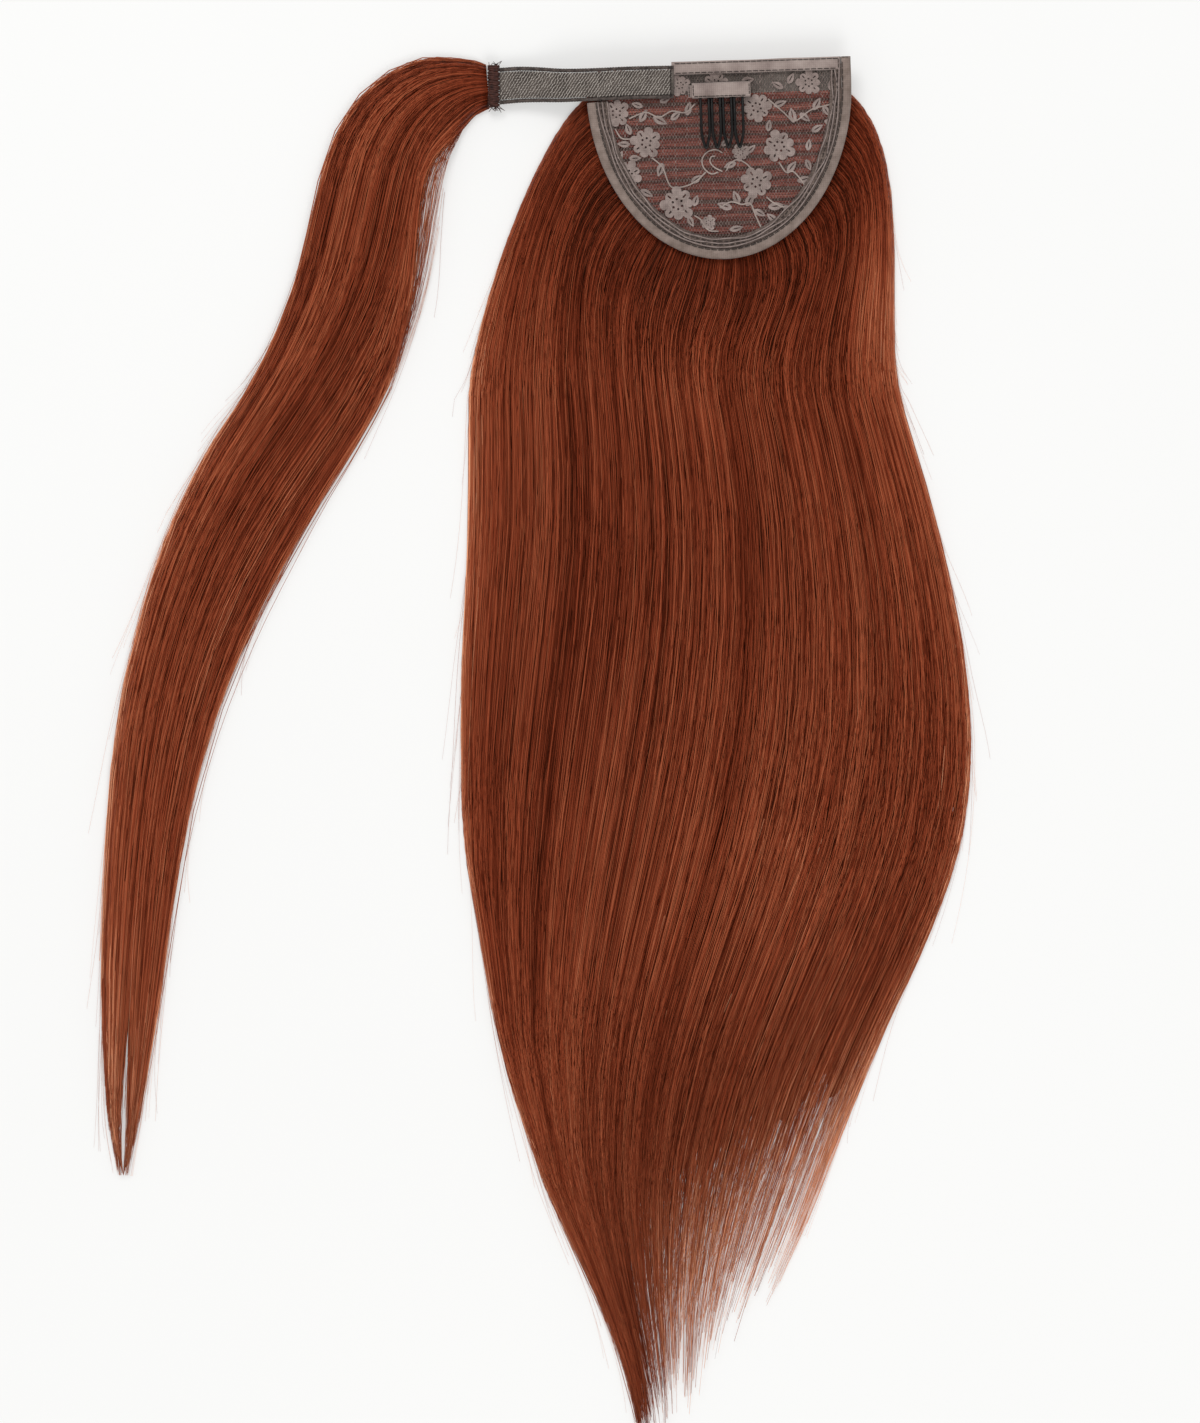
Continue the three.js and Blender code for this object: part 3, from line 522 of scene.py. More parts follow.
def hair_body(name, flow, height, columns, travels, ends, left_edge, mirrored=False):
    """The closed mass of hair under the single ones: a grid across and along the flow, flat where it
    lies. ends gives how much of the last stretch the mass fills at a place across, and left_edge where
    it starts across, for each row."""
    left = left_edge[:, None]
    across = left + (0.975 - left) * np.linspace(0, 1, columns)[None, :] + np.zeros((len(travels), 1))
    along = np.broadcast_to(travels[:, None], across.shape)
    along = np.where(along > 1, 1 + (along - 1) * ends(across), along)
    flat = flow(across, along)
    top = np.maximum(height(across, along) * 0.86 - 0.5, 0.5)
    rows = len(travels)
    index = np.arange(rows * columns).reshape(rows, columns)
    quads = np.stack([index[:-1, :-1], index[1:, :-1], index[1:, 1:], index[:-1, 1:]], axis=-1)
    quads = quads.reshape(-1, 4)
    under = quads[:, ::-1] + rows * columns
    rim = np.concatenate([index[0, :], index[1:, -1], index[-1, -2::-1], index[-2:0:-1, 0]])
    after = np.roll(rim, -1)
    wall = np.stack([rim, after, after + rows * columns, rim + rows * columns], axis=-1)
    faces = np.concatenate([quads, under, wall])
    faces = (faces[:, ::-1] if mirrored else faces).tolist()
    points = np.stack([raised(flat, top), raised(flat, 0.15)])
    piece = new_piece(name, on_table(points), faces, hair)
    # painted shade: the mass is given a dark tone, with faint streaks, for the hair deep in shade under
    # the single ones
    tone = 0.2 + 0.06 * np.sin(across * 260) + 0.05 * np.sin(across * 97 + along * 2)
    set_tone(piece, np.stack([tone, tone]))
    return piece


body_travels = np.concatenate([np.linspace(0, 1, 18), np.linspace(1, 2, 30)[1:]])


def tail_body_ends(across):
    """The mass ends unevenly, and sooner to the right, where the hair thins out."""
    ripple = 0.03 * np.sin(across * 83) * np.sin(across * 31 + 1)
    return 0.92 - 0.12 * smooth_step(0.1, 0.8, across) + ripple


tail_body_left = 0.025 + 0.2 * smooth_step(1.3, 1.85, body_travels)
tail_body = hair_body(
    "tail_body", tail_flow, tail_height, columns=110, travels=body_travels, ends=tail_body_ends,
    left_edge=tail_body_left)
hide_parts("tail_hair")
for order, (layer, count, layers, width) in enumerate(TAIL_LAYERS, 1):
    tail_hairs(f"tail_hairs_{layer}", evenly(count, 200 + order), layers, width, 100 + order)
edge_stations = np.concatenate([np.linspace(0, 1, 11), np.linspace(1, 2, 16)[1:]])
edge_places = np.concatenate([evenly(200, 204, 0.001, 0.02), evenly(200, 205, 0.98, 0.999)])
# painted light: the edge hairs are lightened for the table's light through them, and take less of the
# painted shade under the others
tail_hairs(
    "tail_hairs_edge", edge_places, layers=(0.3, 1.0), width=(0.1, 0.2), seed=104, stations=edge_stations,
    sway_size=0.005, edge_painted_light=0.14)


def flyaways(name, count, flow, height, travels, seed, reach):
    """Loose thin hairs that part from the edges of the hair. travels is the span of travel that they
    part in."""
    draw = np.random.default_rng(seed)
    right = draw.random(count) < 0.5
    across = np.where(right, draw.uniform(0.96, 0.998, count), draw.uniform(0.002, 0.04, count))[:, None]
    start = draw.uniform(*travels, count)[:, None]
    q = np.linspace(0, 1, 18)[None, :]
    travel = np.minimum(start + q * draw.uniform(0.18, 0.4, count)[:, None], travels[1] + 0.25)
    flat = flow(across, travel)
    ahead = np.gradient(flat, axis=1)
    ahead /= np.linalg.norm(ahead, axis=2, keepdims=True) + 1e-9
    out = np.stack([-ahead[..., 1], ahead[..., 0]], axis=-1)
    inner = flow(np.full_like(across, 0.5), travel)
    out *= np.sign(((flat - inner) * out).sum(axis=-1, keepdims=True))
    size = 0.7 + reach * draw.random(count)[:, None] ** 2
    away = size * q ** 2 + 0.12 * size * np.sin(q * draw.uniform(3, 9, count)[:, None]) * q
    flat = flat + out * away[..., None]
    share = draw.uniform(0.2, 0.9, count)[:, None]
    high = np.maximum(height(across, travel) * share * (1 - q) + 0.5, 0.5)
    # painted light: the thin loose hairs are given a light tone for the table's light through them
    tone = np.broadcast_to(draw.normal(0.88, 0.1, count)[:, None], travel.shape)
    radius = draw.uniform(0.05, 0.08, count)[:, None] * (1 - 0.5 * q)
    hair_piece(name, flat, high, radius, tone)


flyaways("tail_flyaways", 150, tail_flow, tail_height, travels=(0.35, 1.75), seed=301, reach=9)


def tail_wisps(count, seed):
    """The thinned ends of the hair at the tail's slanting lower side. They lean to the tip, each with a
    bend of its own, and are painted light for the bright table shining through them one by one."""
    draw = np.random.default_rng(seed)
    across = draw.uniform(0.25, 0.99, count)
    lock, _, _ = gathered(across, TAIL_WISP_LOCKS, 19)
    start = draw.uniform(1.4, 1.65, count)[:, None]
    end = draw.uniform(1.86, 2.04, count)[:, None]
    q = np.linspace(0, 1, 11)[None, :]
    travel = start + (end - start) * q
    flow = across[:, None] + (lock - across)[:, None] * 0.75 * q ** 1.5
    flow = flow + draw.normal(0, 0.03, count)[:, None] * q ** 2
    flat = tail_flow(np.clip(flow, 0, 1), travel)
    lean = draw.uniform(2, 30, count)[:, None] * smooth_step(0.2, 0.8, across)[:, None]
    flat[..., 0] -= lean * q ** 2
    bend = draw.normal(0, 1.2, count)[:, None]
    flat[..., 0] += bend * np.sin(q * draw.uniform(4, 9, count)[:, None]) * q
    flat[..., 0] = np.maximum(flat[..., 0], tail_flow(across[:, None] * 0.12, travel)[..., 0])
    resting = draw.uniform(0.0, 1.0, count)[:, None] * (1 - 0.6 * q)
    high = np.maximum(tail_height(np.clip(flow, 0.02, 0.98), travel) * resting, 0.3)
    # painted light: the wisps are light, and lighter towards their ends, for the table's light through
    # them
    tone = draw.normal(0.8, 0.1, count)[:, None] + 0.2 * smooth_step(0.2, 0.8, q)
    radius = draw.uniform(0.12, 0.2, count)[:, None] * (1 - 0.6 * q)
    hair_piece("tail_wisps", flat, high, radius, tone)


tail_wisps(count=500, seed=303)

# The gathered hair under the cap
# All the wefts' roots lie stacked under the cap. Seen from the cap's straight edge, the hair turns down
# over the stack's rear and runs back under it towards the tail.
PAD_RINGS = [(6.2, 0.3), (5.2, 1.0), (4.7, 2.6), (4.6, 5.0), (4.8, 7.2), (5.4, 8.3), (6.6, 8.8)]
PAD_STEPS = 60


def cap_outline(inset, steps):
    """The cap's whole outline, from its top left corner round the arc to its top right corner."""
    arc, _ = cap_edge(np.linspace(0, 1, steps + 1), inset)
    half = CAP_WIDTH / 2 - inset
    top = np.stack([np.linspace(half, -half, steps // 2), np.full(steps // 2, -inset)], axis=-1)
    return np.concatenate([arc, top])


def hair_pad():
    """A flat cushion of hair with rounded sides, in the cap's outline."""
    rings = np.stack([raised(cap_outline(inset, PAD_STEPS), z) for inset, z in PAD_RINGS])
    piece = cap_piece("gathered_hair", (rings, skin(*rings.shape[:2])), hair)
    # painted shade: the cushion is given a dark tone for the hair in shade under the cap
    set_tone(piece, np.full(rings.shape[:2], 0.15))


def rear_hairs(count, seed):
    """Hair that turns over the rear of the stack, from under the cap's top edge down to the table."""
    draw = np.random.default_rng(seed)
    x = evenly(count, seed + 1, -CAP_WIDTH / 2 + 4, CAP_WIDTH / 2 - 4)[:, None]
    q = np.linspace(0, 1, 9)[None, :]
    bulge = draw.uniform(0.2, 2.6, count)[:, None]
    y = -4.4 + bulge * np.sin(math.pi * q) - 5 * q ** 3
    z = 8.7 - 8.2 * q ** 1.3
    lean = x + draw.normal(0, 1.2, count)[:, None] * q
    flat = flat_turned(np.stack([lean, y], axis=-1))
    # painted shade: these hairs are darker than the tail's, and darker still as they go down under the
    # stack's rear
    tone = draw.normal(0.38, 0.14, count)[:, None] - 0.1 * q
    hair_piece("rear_hairs", flat, z, draw.uniform(0.15, 0.28, count)[:, None], tone)


hair_pad()
rear_hairs(count=540, seed=401)

# The wrap lock
# A narrower lock of the same hair on the strap's free end. The wearer winds it round the ponytail to
# hide the cap. It swings out and down in one long bend, loosens on its inner side, and parts into two
# points.
WRAP_ROOT = (-96.5, -10.1)
WRAP_ACROSS, WRAP_DOWN, WRAP_WIDTH, WRAP_DEPTH = 153, 457, 53, 10.5
WRAP_PARTING = 2.2
WRAP_CLUMPS, WRAP_WISPS = 16, 130
WRAP_TONE, WRAP_ROOT_PAINTED_SHADE, WRAP_TIP_PAINTED_LIGHT, WRAP_RIM_PAINTED_LIGHT = 0.48, 0.2, 0.24, 0.3
# the lock's loosened inner side: how far in it reaches, how much it is drawn in there and how much
# painted light its thin hair takes, and the share of its hairs that lie free, with their share of
# the usual gathering and thickness
LOOSE_ZONE, LOOSE_DRAWN_IN, LOOSE_PAINTED_LIGHT = 0.36, 0.26, 0.36
FREE_HAIRS, FREE_GATHER, FREE_THICKNESS = 0.3, 0.2, 0.45

# left and down as shares of the lock's reach, then shares of its full width and depth, from the strap
# to the tips
WRAP_SECTIONS = [
    (0, 0, 0.33, 0.6), (0.066, 0.002, 0.48, 0.8), (0.149, 0.014, 0.72, 0.88), (0.225, 0.04, 0.88, 0.94),
    (0.275, 0.077, 0.96, 1), (0.309, 0.13, 1, 1), (0.349, 0.186, 1, 1), (0.42, 0.247, 0.98, 0.97),
    (0.507, 0.302, 0.95, 0.95), (0.61, 0.355, 0.96, 0.94), (0.7, 0.41, 0.94, 0.92),
    (0.773, 0.464, 0.88, 0.9), (0.831, 0.518, 0.81, 0.86), (0.88, 0.575, 0.74, 0.82),
    (0.919, 0.64, 0.66, 0.76), (0.952, 0.72, 0.56, 0.68), (0.973, 0.805, 0.48, 0.6),
    (0.99, 0.885, 0.36, 0.46), (1.0, 0.95, 0.24, 0.3), (1.0, 1.0, 0.1, 0.16),
]
WRAP_ROWS = [(order, *row) for order, row in enumerate(WRAP_SECTIONS)]
# travel, and the power that shifts the hair: over 1 to the inner side, under 1 to the outer side
WRAP_DRIFT = [(0, 1), (0.3, 1.18), (0.55, 1.2), (0.9, 0.92), (1.2, 0.84), (1.6, 0.96), (2, 1)]


def wrap_share(column, along):
    """A column's value between the lock's sections, at a travel from the strap, 0, to the tips, 2."""
    return through(WRAP_ROWS, column, np.clip(along / 2, 0, 1) * (len(WRAP_SECTIONS) - 1))


def wrap_middle(along):
    """The lock's middle line, in flat millimetres."""
    left, down = wrap_share(1, along), wrap_share(2, along)
    return np.stack([WRAP_ROOT[0] - left * WRAP_ACROSS, WRAP_ROOT[1] - down * WRAP_DOWN], axis=-1)


def wrap_flow(across, along):
    """Where the lock's hair runs: 0 across is its inner side, 1 its outer side."""
    across, along = np.broadcast_arrays(np.asarray(across, float), np.asarray(along, float))
    ahead = wrap_middle(along + 0.01) - wrap_middle(along - 0.01)
    ahead /= np.linalg.norm(ahead, axis=-1, keepdims=True) + 1e-9
    side = np.stack([ahead[..., 1], -ahead[..., 0]], axis=-1)
    width = wrap_share(3, along) * WRAP_WIDTH
    parted = smooth_step(0.76, 0.94, along / 2) * (1 - 0.8 * smooth_step(0.94, 1.0, along / 2))
    parting = np.clip((across - 0.5) * 12, -1, 1) * WRAP_PARTING / 2 * parted
    drifted = np.sign(across) * np.abs(across) ** through(WRAP_DRIFT, 1, along)
    return wrap_middle(along) + side * ((drifted - 0.5) * width + parting)[..., None]


def wrap_height(across, along):
    """The height of the lock's upper surface, in millimetres."""
    depth = wrap_share(4, along) * WRAP_DEPTH
    edge = np.sqrt(np.clip(1 - np.abs(2 * across - 1) ** 10, 0.02, 1))
    return depth * (1 - 0.5 * (2 * across - 1) ** 2) * edge


def loosening(travel):
    """How loose the lock's inner side is: 0 at the strap and below the bend, 1 between them."""
    return np.sin(np.clip((travel - 0.14) / 0.6, 0, 1) * math.pi) ** 1.2


def wrap_hairs(name, count, layers, width, seed, stations, spans=(0.004, 0.996)):
    """One layer of the lock's hairs."""
    draw = np.random.default_rng(seed)
    across = evenly(count, seed + 1, *spans)
    middle, clump, inside = gathered(across, WRAP_CLUMPS, 25)
    wisp, wisp_number, in_wisp = gathered(across, WRAP_WISPS, 29)
    travel = shifted(stations, count, draw, 0.4)
    travel[:, 0] = 0
    ends = 1.005 - 0.2 * draw.random(count)
    travel = travel * ends[:, None]
    free = (across < LOOSE_ZONE) & (draw.random(count) < FREE_HAIRS)
    gather = (0.08 + 0.35 * smooth_step(0.6, 2.0, travel)) * np.where(free, FREE_GATHER, 1)[:, None]
    prong = np.where(across < 0.5, 0.3, 0.7)
    flow = drawn_together(across, middle, wisp, gather)
    gather_to_prong = 0.8 * smooth_step(1.72, 2.0, travel) * draw.uniform(0.3, 1.0, (count, 1))
    flow = flow + (prong[:, None] - flow) * gather_to_prong
    own_share = np.where(free, draw.random(count) ** 0.6, 1)
    drawn_in = LOOSE_DRAWN_IN * np.clip(1 - across / LOOSE_ZONE, 0, 1) * own_share
    flow = flow + drawn_in[:, None] * loosening(travel)
    sway = draw.normal(0, 0.012, count)[:, None]
    flow = flow + sway * np.sin(travel * 2.6 + draw.uniform(0, 6, (count, 1)))
    stray = (draw.random(count) < 0.05) * draw.normal(0, 0.06, count)
    flow = flow + stray[:, None] * smooth_step(0.2, 1.9, travel)
    flat = wrap_flow(flow, travel)
    height = wrap_height(np.clip(flow, 0.02, 0.98), travel)
    share = draw.uniform(*layers, count)[:, None]
    relief = humps(inside, in_wisp, 0.5, 0.3) * smooth_step(0.15, 0.5, travel)
    high = np.maximum(height * share + relief - 0.35, 0.45)
    high = np.where(travel < 0.12, np.minimum(high, 3.0 + 2.6 * share + 20 * travel), high)
    radius = draw.uniform(*width, count)[:, None] * (1 - 0.7 * smooth_step(1.6, 2.0, travel))
    radius = radius * np.where(free, FREE_THICKNESS, 1)[:, None]
    clump_tone = clump_values(WRAP_CLUMPS, 26)[clump][:, None]
    wisp_tone = clump_values(WRAP_WISPS, 30)[wisp_number][:, None]
    own = np.minimum(draw.normal(0, 0.15, count), 0.22) - 0.22 * (draw.random(count) < 0.1)
    tone = WRAP_TONE + 0.04 * clump_tone + 0.08 * wisp_tone + own[:, None]
    # painted shade: the hair is darkened near the strap's end, where it leaves the weft head
    tone = tone - WRAP_ROOT_PAINTED_SHADE * (1 - smooth_step(0.0, 0.45, travel))
    tone = tone + 0.06 * np.sin(travel * 4 + clump_tone * 7)
    tone = tone + 0.1 * smooth_step(0.4, 1.0, flow) * smooth_step(0.5, 1.1, travel)
    # painted light: the hairs along both rims, on the loosened inner side and at the tips are lightened
    # for the table's light that shines through them
    rim = smooth_step(0.04, 0.0, flow) + smooth_step(0.96, 1.0, flow)
    tone = tone + WRAP_RIM_PAINTED_LIGHT * rim + LOOSE_PAINTED_LIGHT * smooth_step(0.3, 0.14, flow) * loosening(travel)
    tip = smooth_step(1.55, 1.95, travel)
    # painted shade: hairs that lie lower in the layer are darkened as if shaded by those above, less so
    # at the rims and tips
    painted_under_shade = 0.1 if spans[1] < 0.1 or spans[0] > 0.9 else 0.5
    tone = tone + WRAP_TIP_PAINTED_LIGHT * tip - (1 - share) * (1 - rim) * painted_under_shade * (1 - tip)
    hair_piece(name, flat, high, radius, tone)


wrap_travels = np.linspace(0.02, 1.6, 60)
wrap_body_left = 0.03 + LOOSE_DRAWN_IN * loosening(wrap_travels)
wrap_body = hair_body(
    "wrap_body", wrap_flow, wrap_height, columns=34, travels=wrap_travels, ends=np.ones_like,
    left_edge=wrap_body_left, mirrored=True)
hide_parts("wrap_hair")
wrap_stations = np.array([
    0, 0.05, 0.12, 0.19, 0.26, 0.33, 0.41, 0.5, 0.6, 0.71, 0.83, 0.96,
    1.1, 1.25, 1.41, 1.57, 1.73, 1.87, 2.0])
rim_stations = np.linspace(0, 2, 30)
wrap_hairs("wrap_hairs_low", 440, (0.35, 0.8), (0.22, 0.38), 501, wrap_stations)
wrap_hairs("wrap_hairs_top", 950, (0.8, 1.0), (0.13, 0.27), 503, wrap_stations)
wrap_hairs("wrap_hairs_edge", 130, (0.3, 0.95), (0.08, 0.16), 505, rim_stations, (-0.01, 0.035))
wrap_hairs("wrap_hairs_rim", 90, (0.2, 0.9), (0.08, 0.16), 506, rim_stations, (0.95, 1.01))
flyaways("wrap_flyaways", 90, wrap_flow, wrap_height, travels=(0.4, 1.75), seed=507, reach=9)

# The weft rows
# Hair sewn by machine into thirteen rows on a dark stretch cloth. Seen from the cap's inner side,
# through the lace, each row shows as a band of flat reddish hair with the machine's zigzag over it.
WEFT_ROWS = 13
CLOTH_INSET, CLOTH_LOW, CLOTH_HIGH = 5.0, 9.15, 9.7
WEFT_HAIRS, WEFT_HALF_HEIGHT, WEFT_HAIR_Z = 17, 1.6, 9.95
WEFT_OVERHANG, WEFT_PLACES = 3.4, 26
WEFT_STITCH, WEFT_STITCH_SWING, WEFT_STITCH_RADIUS, WEFT_STITCH_LIFT = 0.9, 1.1, 0.13, 0.5


def cap_place(node):
    """The middle of a CAD piece of the cap, in the cap's own flat millimetres, and its half width
    there."""
    low_corner, high_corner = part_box(node)
    x = (low_corner[0] + high_corner[0]) / 2 / MM - CAP_X
    y = (low_corner[1] + high_corner[1]) / 2 / MM - CAP_Y
    half_width = (high_corner[0] - low_corner[0]) / 2 / MM
    return x * TURN_COS + y * TURN_SIN, y * TURN_COS - x * TURN_SIN, half_width


def plate(outline, low_z, high_z):
    """A flat closed plate from an outline in flat millimetres: its points and faces."""
    count = len(outline)
    points = np.concatenate([raised(outline, z) for z in (low_z, high_z)])
    faces = [tuple(range(count))[::-1], tuple(range(count, 2 * count))]
    faces += [(i, (i + 1) % count, count + (i + 1) % count, count + i) for i in range(count)]
    return points, faces


def wave_scale(length):
    """The scale that gives Blender's wave texture bands of this length in millimetres."""
    return math.pi / 10 / (length * MM)


def woven_cloth(name, dark, light, thread, relief=0.12, blotch=7.0):
    """Plain-woven thread: one thread over and one under, of that width in millimetres, with a soft
    uneven dye."""
    material, tree = new_material(name)
    place = add_node(tree, "TexCoord").outputs["Object"]
    inputs = {"Vector": place, "Scale": wave_scale(2 * thread), "Distortion": 0.6, "Detail Scale": 2.0}
    warp, weft = [add_node(tree, "TexWave", inputs, bands_direction=way).outputs["Fac"] for way in "XY"]
    weave = add_node(tree, "Math", {0: warp, 1: weft}, operation="MULTIPLY").outputs["Value"]
    dye = object_noise(tree, blotch, 6.0, 0.62)
    spread = {"Value": dye, "From Min": 0.3, "From Max": 0.7, "To Max": 0.75}
    mixed = add_node(tree, "MapRange", spread).outputs["Result"]
    depth = add_node(tree, "Math", {0: weave, 1: 0.3, 2: mixed}, operation="MULTIPLY_ADD")
    colour = colour_ramp(tree, depth.outputs["Value"], (0.05, dark), (0.95, light))
    bump = add_node(tree, "Bump", {"Height": weave, "Strength": 0.7, "Distance": relief * MM})
    finish_material(
        tree, Base_Color=colour, Roughness=0.85, Specular_IOR_Level=0.25, Sheen_Weight=0.15,
        Normal=bump.outputs["Normal"])
    return material


def uneven_fibre(name, length, detail, stops, **finish):
    """Fibre whose dye changes a little from place to place, over that length in millimetres."""
    material, tree = new_material(name)
    colour = colour_ramp(tree, object_noise(tree, length, detail), *stops)
    finish_material(tree, Base_Color=colour, **finish)
    return material


def sewing_thread(name, dark, light):
    """Spun polyester sewing thread, slightly fuzzy, its dye a little uneven along its length."""
    return uneven_fibre(
        name, 1.5, 3.0, [(0.35, dark), (0.65, light)], Roughness=0.75, Specular_IOR_Level=0.3)


dark_cloth = woven_cloth("stretch_weft_cloth", "#3e2c26", "#67514a", 0.5)
weft_thread = sewing_thread("weft_sewing_thread", "#2c1512", "#54302a")
cloth_plate = plate(cap_outline(CLOTH_INSET, PAD_STEPS), CLOTH_LOW, CLOTH_HIGH)
weft_cloth = cap_piece("weft_cloth", cloth_plate, dark_cloth, smooth=False)


def weft_band(number):
    """The hairs and the zigzag stitching of one row, in cap millimetres."""
    x, y, half = cap_place(f"weft_row_{number:02d}")
    draw = np.random.default_rng(600 + number)
    half += WEFT_OVERHANG
    along = np.linspace(-half, half, WEFT_PLACES)[None, :]
    up = np.linspace(-WEFT_HALF_HEIGHT, WEFT_HALF_HEIGHT, WEFT_HAIRS)[:, None]
    row_sway = 0.3 * np.sin(along / 9 + draw.uniform(0, 6))
    hair_sway = 0.16 * np.sin(along / 4 + draw.uniform(0, 6, (WEFT_HAIRS, 1)))
    crown = 0.35 * np.cos(up / WEFT_HALF_HEIGHT * 1.5)
    line_z = WEFT_HAIR_Z + crown + draw.uniform(-0.08, 0.08, (WEFT_HAIRS, 1))
    hairs = np.stack(np.broadcast_arrays(x + along, y + up + (row_sway + hair_sway), line_z), axis=-1)
    places = np.linspace(-half, half, int(2 * half / WEFT_STITCH))
    swing = WEFT_STITCH_SWING * np.where(np.arange(len(places)) % 2 == 0, 1, -1)
    zigzag_y = y + swing + 0.3 * np.sin(places / 9)
    zigzag = raised(np.stack([x + places, zigzag_y], axis=-1), WEFT_HAIR_Z + WEFT_STITCH_LIFT)
    return hairs, zigzag


weft_bands = [weft_band(number) for number in range(1, WEFT_ROWS + 1)]
weft_hair_lines = np.concatenate([hairs for hairs, _ in weft_bands])
weft_draw = np.random.default_rng(620)
weft_place = np.tile(np.linspace(-1, 1, WEFT_HAIRS), WEFT_ROWS)[:, None]
# painted shade: each row's hairs darken towards its upper and lower edges, where the row rounds down
# under the lace
weft_tone = weft_draw.normal(0.56, 0.12, (len(weft_hair_lines), 1)) - 0.22 * weft_place ** 2
weft_tone = weft_tone + np.zeros((1, weft_hair_lines.shape[1]))
weft_mesh = tubes(weft_hair_lines, weft_draw.uniform(0.14, 0.22, (len(weft_hair_lines), 1)), HAIR_SIDES)


def weft_hair():
    """The roots of the dyed hair, flattened under the lace: dusty and dull, with a pinkish cast."""
    material, tree = new_material("flattened_root_hair")
    tone = add_node(tree, "Attribute", attribute_name="tone")
    colour = colour_ramp(tree, tone.outputs["Fac"], (0.2, "#4f2520"), (0.5, "#8c473c"), (0.8, "#b87565"))
    finish_material(tree, Base_Color=colour, Roughness=0.6, Specular_IOR_Level=0.3)
    return material


weft_hairs = cap_piece("weft_hairs", weft_mesh, weft_hair())
set_tone(weft_hairs, np.repeat(weft_tone, HAIR_SIDES, axis=1))
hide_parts(*[f"weft_row_{number:02d}" for number in range(1, WEFT_ROWS + 1)])


def joined(parts):
    """Several meshes, each its points and faces, as one."""
    points, faces, first = [], [], 0
    for part_points, part_faces in parts:
        points.append(part_points)
        faces += [[first + corner for corner in face] for face in part_faces]
        first += len(part_points)
    return np.concatenate(points), faces


zigzags = joined([tubes(line[None], WEFT_STITCH_RADIUS) for _, line in weft_bands])
cap_piece("weft_stitches", zigzags, weft_thread)

# The ribbed webbing
# A flat woven elastic along the cap's top edge, under the lace. It holds the cap's mouth in shape, and
# its cords show as fine upright ribs.
WEBBING_HALF, WEBBING_TOP, WEBBING_HEIGHT = 46.9, -5.2, 8.6
WEBBING_LOW, WEBBING_RIB, WEBBING_RIB_HEIGHT = 9.75, 1.05, 0.28


def ribbed_webbing():
    """The elastic's ribs as real ridges, six places to a rib."""
    x = np.arange(-WEBBING_HALF, WEBBING_HALF, WEBBING_RIB / 6)
    top = WEBBING_LOW + 0.5 + WEBBING_RIB_HEIGHT * np.abs(np.sin(math.pi * x / WEBBING_RIB))
    bottom_y, under = WEBBING_TOP - WEBBING_HEIGHT, np.full_like(x, WEBBING_LOW)
    rows = [(WEBBING_TOP, under), (WEBBING_TOP, top), (bottom_y, top), (bottom_y, under)]
    points = np.stack([np.stack([x, np.full_like(x, row_y), z], axis=-1) for row_y, z in rows], axis=1)
    return points, skin(*points.shape[:2])


elastic = woven_cloth("woven_elastic", "#4a433f", "#787069", 0.5)
webbing = cap_piece("ribbed_webbing", ribbed_webbing(), elastic, smooth=False)
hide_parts("top_webbing")

# The lace
# Knitted nylon lace: a fine zigzag net that the hair shows through, with thick worked flowers and
# leaves on it and corded stems between them. The flowers are a common floral pattern of this model's
# own drawing.
NET_LOW, NET_CELL_WIDTH, NET_CELL_HEIGHT, NET_THREAD = 10.75, 1.3, 1.15, 0.145
NET_RUN, NET_TOP, NET_INSET = 8, -5.4, 7
MOTIF_LOW, MOTIF_THICK = 10.95, 0.4
CORD_RADIUS, CORD_Z, CORD_PLACES = 0.36, 11.2, 26
PETAL_CORD_RADIUS, PETAL_CORD_PLACES = 0.17, 30

# across and up on the cap, radius and turn of each flower
LACE_FLOWERS = [
    (-31.1, -33.3, 6.4, 10), (24.5, -36.6, 6.6, 40), (-39.2, -46.4, 5.8, 0), (-18.9, -59.4, 7.0, 25),
    (14.4, -51.3, 6.5, 5), (15.6, -20.0, 6.0, 30), (-43.2, -20.5, 5.6, 15), (37.7, -10.3, 5.2, 20),
    (-1.2, -9.6, 5.4, 35), (-16.2, -9.8, 4.4, 0), (-6.2, -67.6, 3.2, 10), (8.2, -38.6, 3.6, 12),
]
